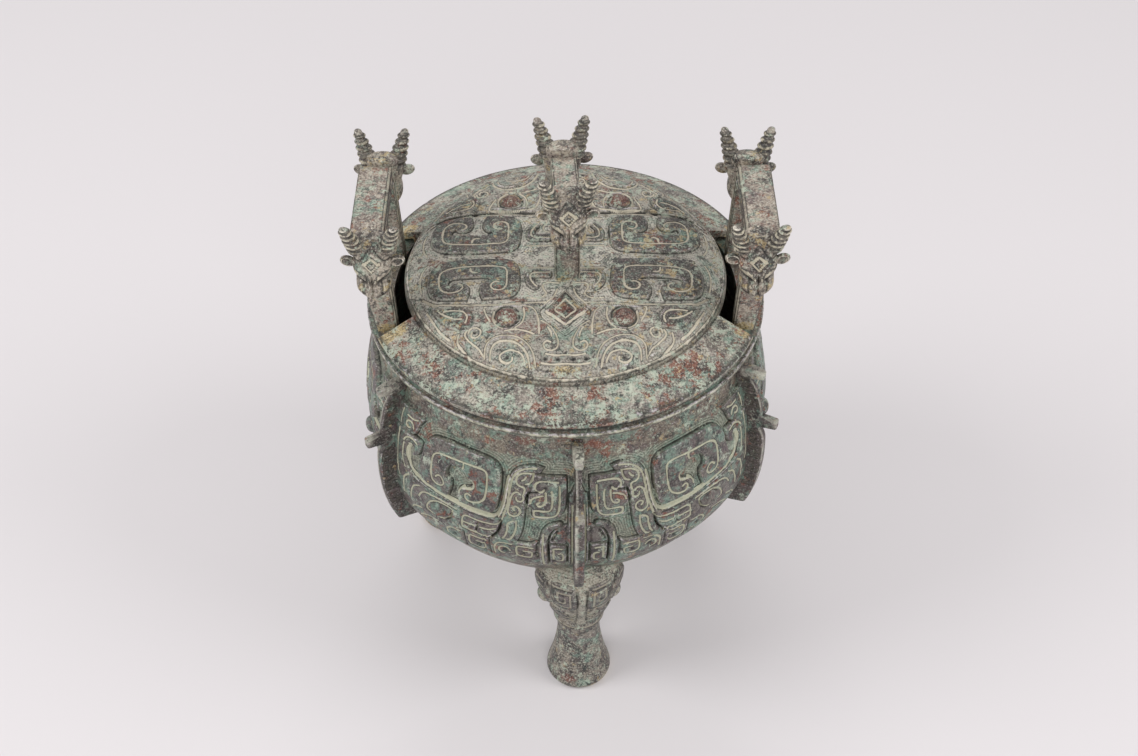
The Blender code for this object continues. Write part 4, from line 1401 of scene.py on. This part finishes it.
LID_LATER_PLATES = (
    # face beyond the divider
    (0.8, 1.2, ((10, 35.6), (20, 35.4), (30, 36.2), (40, 36), (50, 35.5), (60, 34), (66, 32.2),
        (72, 28), (84, 18), (99, 18), (99, 99), (99, 99), (-6, 99), (-6, 99), (-6, 57), (0, 57),
        (5, 52), (11.4, 45), (12.4, 40))),
    # nose lozenge
    (1.5, 0.9, ((-4, 26), (0, 26.4), (0, 26.4), (3, 30.5), (6, 35.4), (10, 40.5), (10, 40.5),
        (6, 44.4), (2, 49), (0, 51.4), (-4, 51.4))),
    # squared hook beside the handle
    (1.5, 0.8, ((7.4, 12), (12, 11.4), (17, 11.5), (19.2, 13.6), (19.2, 20), (16.8, 24), (15, 25),
        (13.2, 23.4), (15.2, 20), (15, 16.6), (11.4, 16.2), (7.4, 16.2))),
    # leaf ear
    (1.4, 0.9, ((46, 48.6), (45.2, 44.4), (46.4, 40), (49.4, 37.2), (55, 36.6), (61, 36.2),
        (65.4, 33.6), (65.4, 33.6), (63, 38.6), (59, 44.2), (55, 48), (50, 49.4))),
)
LID_INCISION = (0.7, 0.42)
# earth at the dome's front edge: radius, its spread, and the spread to both sides
DOME_EARTH = (76.0, 3.0, 11.0)
# places coloured apart: painted shade on the dome's flanks, and red on the face; out to the side and
# to the front, each with its spread
FLANK_PAINTED_SHADE = (70.0, 9.0, 0.0, 26.0)
FACE_RED = (22.0, 22.0, 52.0, 14.0)
LID_EYES = (((28.4, 44.2), (5.2, 4.9), 3.0),)
# rise, half width, line
LID_RIDGES = (
    (0.9, 1.2, ((15.4, 74), (16.8, 67.7), (19.5, 62.6), (23.5, 59.1), (28.5, 57.7), (33, 58.6),
        (36.5, 61.6), (37, 67.8))),
    (0.7, 1.2, ((12.8, 52), (14.2, 44), (16.6, 39.8), (20, 38.1), (28, 37.4), (36.4, 38.2))),
    (0.8, 1.2, ((49, 51.8), (49.8, 55.4), (46.8, 59.8), (42.9, 63.8), (40.6, 67))),
    (0.7, 1, ((7.8, 52), (6, 56.6), (5.2, 61))),
)
LID_LINES = (
    ((32.5, 20.4), (34.2, 20.1), (36, 21.4), (36.4, 23.6), (35, 25.6), (32.4, 26.1), (30, 25),
        (28.8, 22), (28.8, 17), (29, 12.2), (30.4, 9.8), (34, 8.8), (45, 8.4), (54, 9), (59.6, 10.4),
        (61.9, 13.2), (62.2, 18), (61.4, 23), (59, 25.9), (55.4, 26.7), (51.9, 25.7), (50.3, 23.5),
        (50.9, 21.5), (52.6, 20.7)),
    ((47, 9.8), (46.6, 12), (45, 13.1), (43.5, 12.8)),
    ((10, 33.6), (20, 33.7), (30, 34.6), (40, 34.4), (50, 33.9), (60, 32.4), (64.5, 31.2), (70, 26.4)),
    ((0, 27), (3, 31), (6, 36), (9.4, 40.5), (6, 44), (2, 48.2), (0, 50.5)),
    ((4, 24), (5.5, 29), (8.5, 33), (12, 37)),
    ((0, 33), (2.6, 36.6), (5, 40.4), (2.4, 43.4), (0, 46)),
    ((7.6, 13.4), (10.2, 13.3), (15, 13.5), (17, 14.9), (17.2, 18), (16, 21), (14.2, 23.6)),
    ((3, 20), (7.4, 19.4), (10.6, 20.4), (11, 23.6), (9.4, 27.6), (12.8, 30.6), (18.6, 30.4)),
    ((2.6, 9), (8, 8.6), (14, 8.4), (19.4, 8.6)),
    ((12.6, 55.4), (12.8, 50), (13.3, 45.4), (14.5, 40.6), (16.6, 37.9), (20, 36.9), (28, 36.2),
        (35, 36.6), (39, 37.3), (38.4, 41.6), (36.2, 46.8)),
    ((20.2, 38.6), (19.8, 43.2), (21, 48), (24, 51.2)),
    ((34.4, 40.2), (35, 45), (33.2, 49.2), (30, 51.4)),
    ((50, 44.4), (54, 43.5), (58, 41), (61.4, 37.8)),
    ((48, 46.8), (47.4, 43), (49.6, 39.6), (54, 38.4), (59, 38.2)),
    ((46.4, 53), (45.6, 50.8), (43.4, 50), (41.2, 51), (40.4, 53.2), (41.4, 55.2), (43.4, 56),
        (45, 54.8), (44.6, 52.8)),
    ((47, 51), (48, 54.2), (45.2, 58.2), (41.4, 62), (39, 66)),
    ((51, 52.6), (51.6, 56.6), (48.4, 61.4), (44.4, 65.6)),
    ((14.2, 74), (15.4, 67.4), (18, 62), (22, 58), (27, 56), (32, 56.1), (36, 58.5), (38, 62),
        (38.4, 67.2)),
    ((16.8, 74), (18.2, 68), (21, 63.2), (25, 60.2), (30, 59.4), (33.8, 61), (35.4, 64), (35.8, 68.4)),
    ((19.2, 71.4), (21, 67.2), (24.5, 65), (28, 65), (31, 66.8), (30.6, 69.2), (28, 70.8),
        (25.4, 70.2), (25.2, 68.4)),
    ((11.6, 47), (8.2, 49.5), (5.2, 55), (3.6, 60), (4, 64), (6.5, 65.8), (9.4, 65), (10.4, 62.2),
        (9, 60.1), (7, 61)),
    ((8.6, 51.4), (7, 55), (6.6, 57.4)),
    ((15, 55.6), (20, 53.2), (24, 52.3), (29, 53)),
    ((0, 68.4), (5, 68.6), (9.4, 67.6)),
    ((0, 73), (6, 73.2), (11.4, 72.4)),
    ((69.6, 4), (71.6, 9), (72, 16), (70.8, 22)),
    ((55.6, 54), (60, 49), (63.6, 43), (67.4, 36)),
)
LID_CUTS = (
    (0.9, 0.6, ((10.6, 35), (20, 34.9), (30, 35.8), (40, 35.6), (50, 35.1), (60, 33.6), (66, 31.8))),
    (0.8, 0.6, ((22.2, 45), (22.6, 40.6), (26, 37.9), (31, 38.2), (34, 42), (33.8, 46.4), (30.6, 50),
        (26, 50), (22.8, 47))),
    (0.7, 0.5, ((62, 33.4), (66.6, 30), (71.4, 25))),
)
LID_HOLES = (
    ((3.6, 70.6), 1.2, 0.9),
    ((9.6, 70.2), 1.2, 0.9),
    ((43.4, 53), 0.9, 0.8),
    ((46.4, 35.2), 1.1, 0.9),
    ((27.4, 68.6), 1, 0.6),
    ((20.8, 33), 1, 0.6),
)


def dome_height(radius):
    return np.interp(radius, dome_line[:, 0], dome_line[:, 1])


dome_line = curve(DOME, steps=12)
form = bmesh.new()
bmesh.ops.create_grid(form, x_segments=LID_STEPS, y_segments=LID_STEPS, size=1.0)
for radius, height in DISC_UNDER:
    made = bmesh.ops.extrude_edge_only(form, edges=open_edges(form))["geom"]
    for vertex in made:
        if isinstance(vertex, bmesh.types.BMVert):
            vertex.co.z = -height
            size = max(abs(vertex.co.x), abs(vertex.co.y))
            vertex.co.xy = vertex.co.xy * (radius / DISC_RADIUS / size)
bmesh.ops.holes_fill(form, edges=open_edges(form), sides=0)
bmesh.ops.recalc_face_normals(form, faces=form.faces)
disc = meshed("lid_disc", form)

# the square sheet drawn out to a round one
points = corners(disc) * MM
x, y = points[:, 0], points[:, 1]
size = np.maximum(np.abs(x), np.abs(y))
wide = np.abs(x) >= np.abs(y)
bearing = np.where(
    wide,
    pi / 4 * y / np.where(wide & (x != 0), x, 1.0),
    pi / 2 - pi / 4 * x / np.where(wide | (y == 0), 1.0, y),
)
flip = np.where(wide, np.sign(x), np.sign(y))
reach = DISC_RADIUS * size * flip
under = -points[:, 2]
points = np.stack([reach * np.cos(bearing), reach * np.sin(bearing), under], axis=1)
top = np.nonzero(under == 0.0)[0]
relief = drawn(
    np.abs(points[top, 0]), np.abs(points[top, 1]), LID_PLATES, LID_RECESSES, LID_LATER_PLATES,
    LID_EYES, LID_RIDGES, LID_LINES, LID_CUTS, LID_HOLES, LID_INCISION,
)
reach = np.abs(reach[top])
fade = eased((DISC_RADIUS - DISC_MARGIN[0] - reach) / DISC_MARGIN[1])
points[top, 2] = dome_height(reach) + relief.height * fade
for ring, rise in DISC_RINGS:
    points[top, 2] += rise * hump(reach - ring, RING_WIDTH)
points[:, 2] += EDGE
put_back(disc, points)
marks = drawing_marks(relief, top, fade, len(points))
marks["line"][top] += 0.5 * hump(reach - DOME_RIDGE, 0.5)
# painted shadow in the seam round the dome
marks["dip"][top] += 0.7 * hump(reach - DOME_SEAM, 0.45)
at_seam = hump(reach - DOME_EARTH[0], DOME_EARTH[1]) * hump(points[top, 0], DOME_EARTH[2])
marks["soil"][top] = 0.6 * at_seam * (points[top, 1] < 0)
for place, sizes, _ in LID_EYES:
    span = np.hypot(np.abs(points[:, 0]) - place[0], np.abs(points[:, 1]) - place[1])
    marks["red"] += 0.7 * eased((1.1 - span / sizes[0]) / 0.2)


def in_each_quarter(out, out_spread, front, front_spread):
    """1 round a place in each quarter of the dome."""
    across = hump(np.abs(points[:, 0]) - out, out_spread)
    return across * hump(np.abs(points[:, 1]) - front, front_spread)


# painted shade on the flanks of the dome
marks["dip"] = np.maximum(marks["dip"], 0.20 * in_each_quarter(*FLANK_PAINTED_SHADE))
marks["red"] += 0.46 * in_each_quarter(*FACE_RED)
marks["red"][top] += 0.30 * (relief.raised > 0.8)
marked(disc, **marks)
disc_bronze = patina(
    "lid_disc_bronze", ((186, 178, 160), (148, 138, 124)), (224, 218, 206), (228, 218, 196),
    ((72, 67, 64), (40, 36, 36)), teal=0.22, plum=0.12, rust=0.11, tan=0.15, mint=0.15,
    char=0.24, hatch=0.25, inlaid=0.85, speck=0.50,
)
finished(link("lid_dome", disc), disc_bronze, "lid")

BORDER_HALF = radians(66.5)
BORDER_STEPS = 200
BORDER_EDGE = 99.2
NOTCH_SLOPE = 0.43
# earth at the cut ends: side, strength, breadth and inner radius
BORDER_EARTH = ((-1, 0.8, 7.0, 84.0), (1, 0.48, 5.0, 88.0))
BORDER = (
    (81, 6.7), (81.4, 6.9), (82, 7.1), (82.6, 6.95), (84, 6.4), (87, 5.2), (90, 4), (93, 2.8),
    (96, 1.6), (98.6, 0.6), (99.6, 0.2), (100, -0.4), (100, -1.6), (99.8, -2.4), (98.8, -3.1),
    (97.8, -3.5), (96, -3.5), (93, -1.1), (87.2, 1.1), (86.2, 0.5), (86.2, -11.5), (83.5, -11.5),
    (83.5, 3.5), (81, 4.3),
)
# its line colour paints the highlight along the border's outer edge
border_bronze = patina(
    "lid_border_bronze", ((176, 170, 156), (108, 101, 94)), line=(226, 214, 218), teal=0.30,
    rust=0.24, plum=0.18, mint=0.22, tan=0.07, char=0.21, inlaid=0.75, speck=0.42, crisp=0.015,
)
for name, middle in (("front", 0.0), ("back", pi)):
    form = bmesh.new()
    profile = [(radius, -height) for radius, height in BORDER]
    turned(form, profile, middle - BORDER_HALF, middle + BORDER_HALF, BORDER_STEPS)
    mesh = meshed("border", form)
    points = corners(mesh)
    reach = np.hypot(points[:, 0], points[:, 1])
    upper = points[:, 2] > EDGE - 2.6
    # a painted highlight along the border's outer edge
    painted_edge_highlight = 0.42 * hump(reach - BORDER_EDGE, 0.6) * upper
    ends = np.abs(points[:, 1]) - NOTCH_SLOPE * reach
    soil = np.zeros(len(points))
    for side, strength, wide, inner in BORDER_EARTH:
        earth = eased((wide - ends) / wide) * eased((reach - inner) / 4.0)
        soil += strength * earth * (side * points[:, 0] > 0)
    marked(mesh, line=painted_edge_highlight, soil=soil)
    finished(link(f"lid_border_{name}", mesh), border_bronze, "lid")


# The lid's handle, a narrow square-shouldered loop cast on the middle of the dome, with a
# ram's head at each end.

HANDLE_HALF_SPAN = 17.5
HANDLE_RISE = 70.5
HANDLE_BAND = 7.2
HANDLE_CHEEKS = (-6.3, 6.3)
HANDLE_GRID = (40, 110)
HANDLE_TURN = radians(3.8)
HANDLE_HEAD_Y = HANDLE_HALF_SPAN + 3.2
HANDLE_HEAD_Z = HANDLE_RISE + 2.4
handle_base = float(dome_height(HANDLE_HALF_SPAN)) - 1.6

mesh = loop(
    HANDLE_HALF_SPAN, HANDLE_RISE - handle_base, HANDLE_BAND, HANDLE_CHEEKS, HANDLE_CHEEKS,
    HANDLE_GRID,
)
mesh.transform(Matrix.Translation((0.0, 0.0, (EDGE + handle_base) * MM)))
mesh.transform(Matrix.Rotation(HANDLE_TURN, 4, "Z"))
finished(link("handle_strap", mesh), ear_bronze, "lid")
for end, name in ((-1, "front"), (1, "back")):
    head_piece(
        f"handle_ram_{name}", 0.0, end * HANDLE_HEAD_Y, HANDLE_HEAD_Z, HANDLE_TURN,
        "lid",
    )
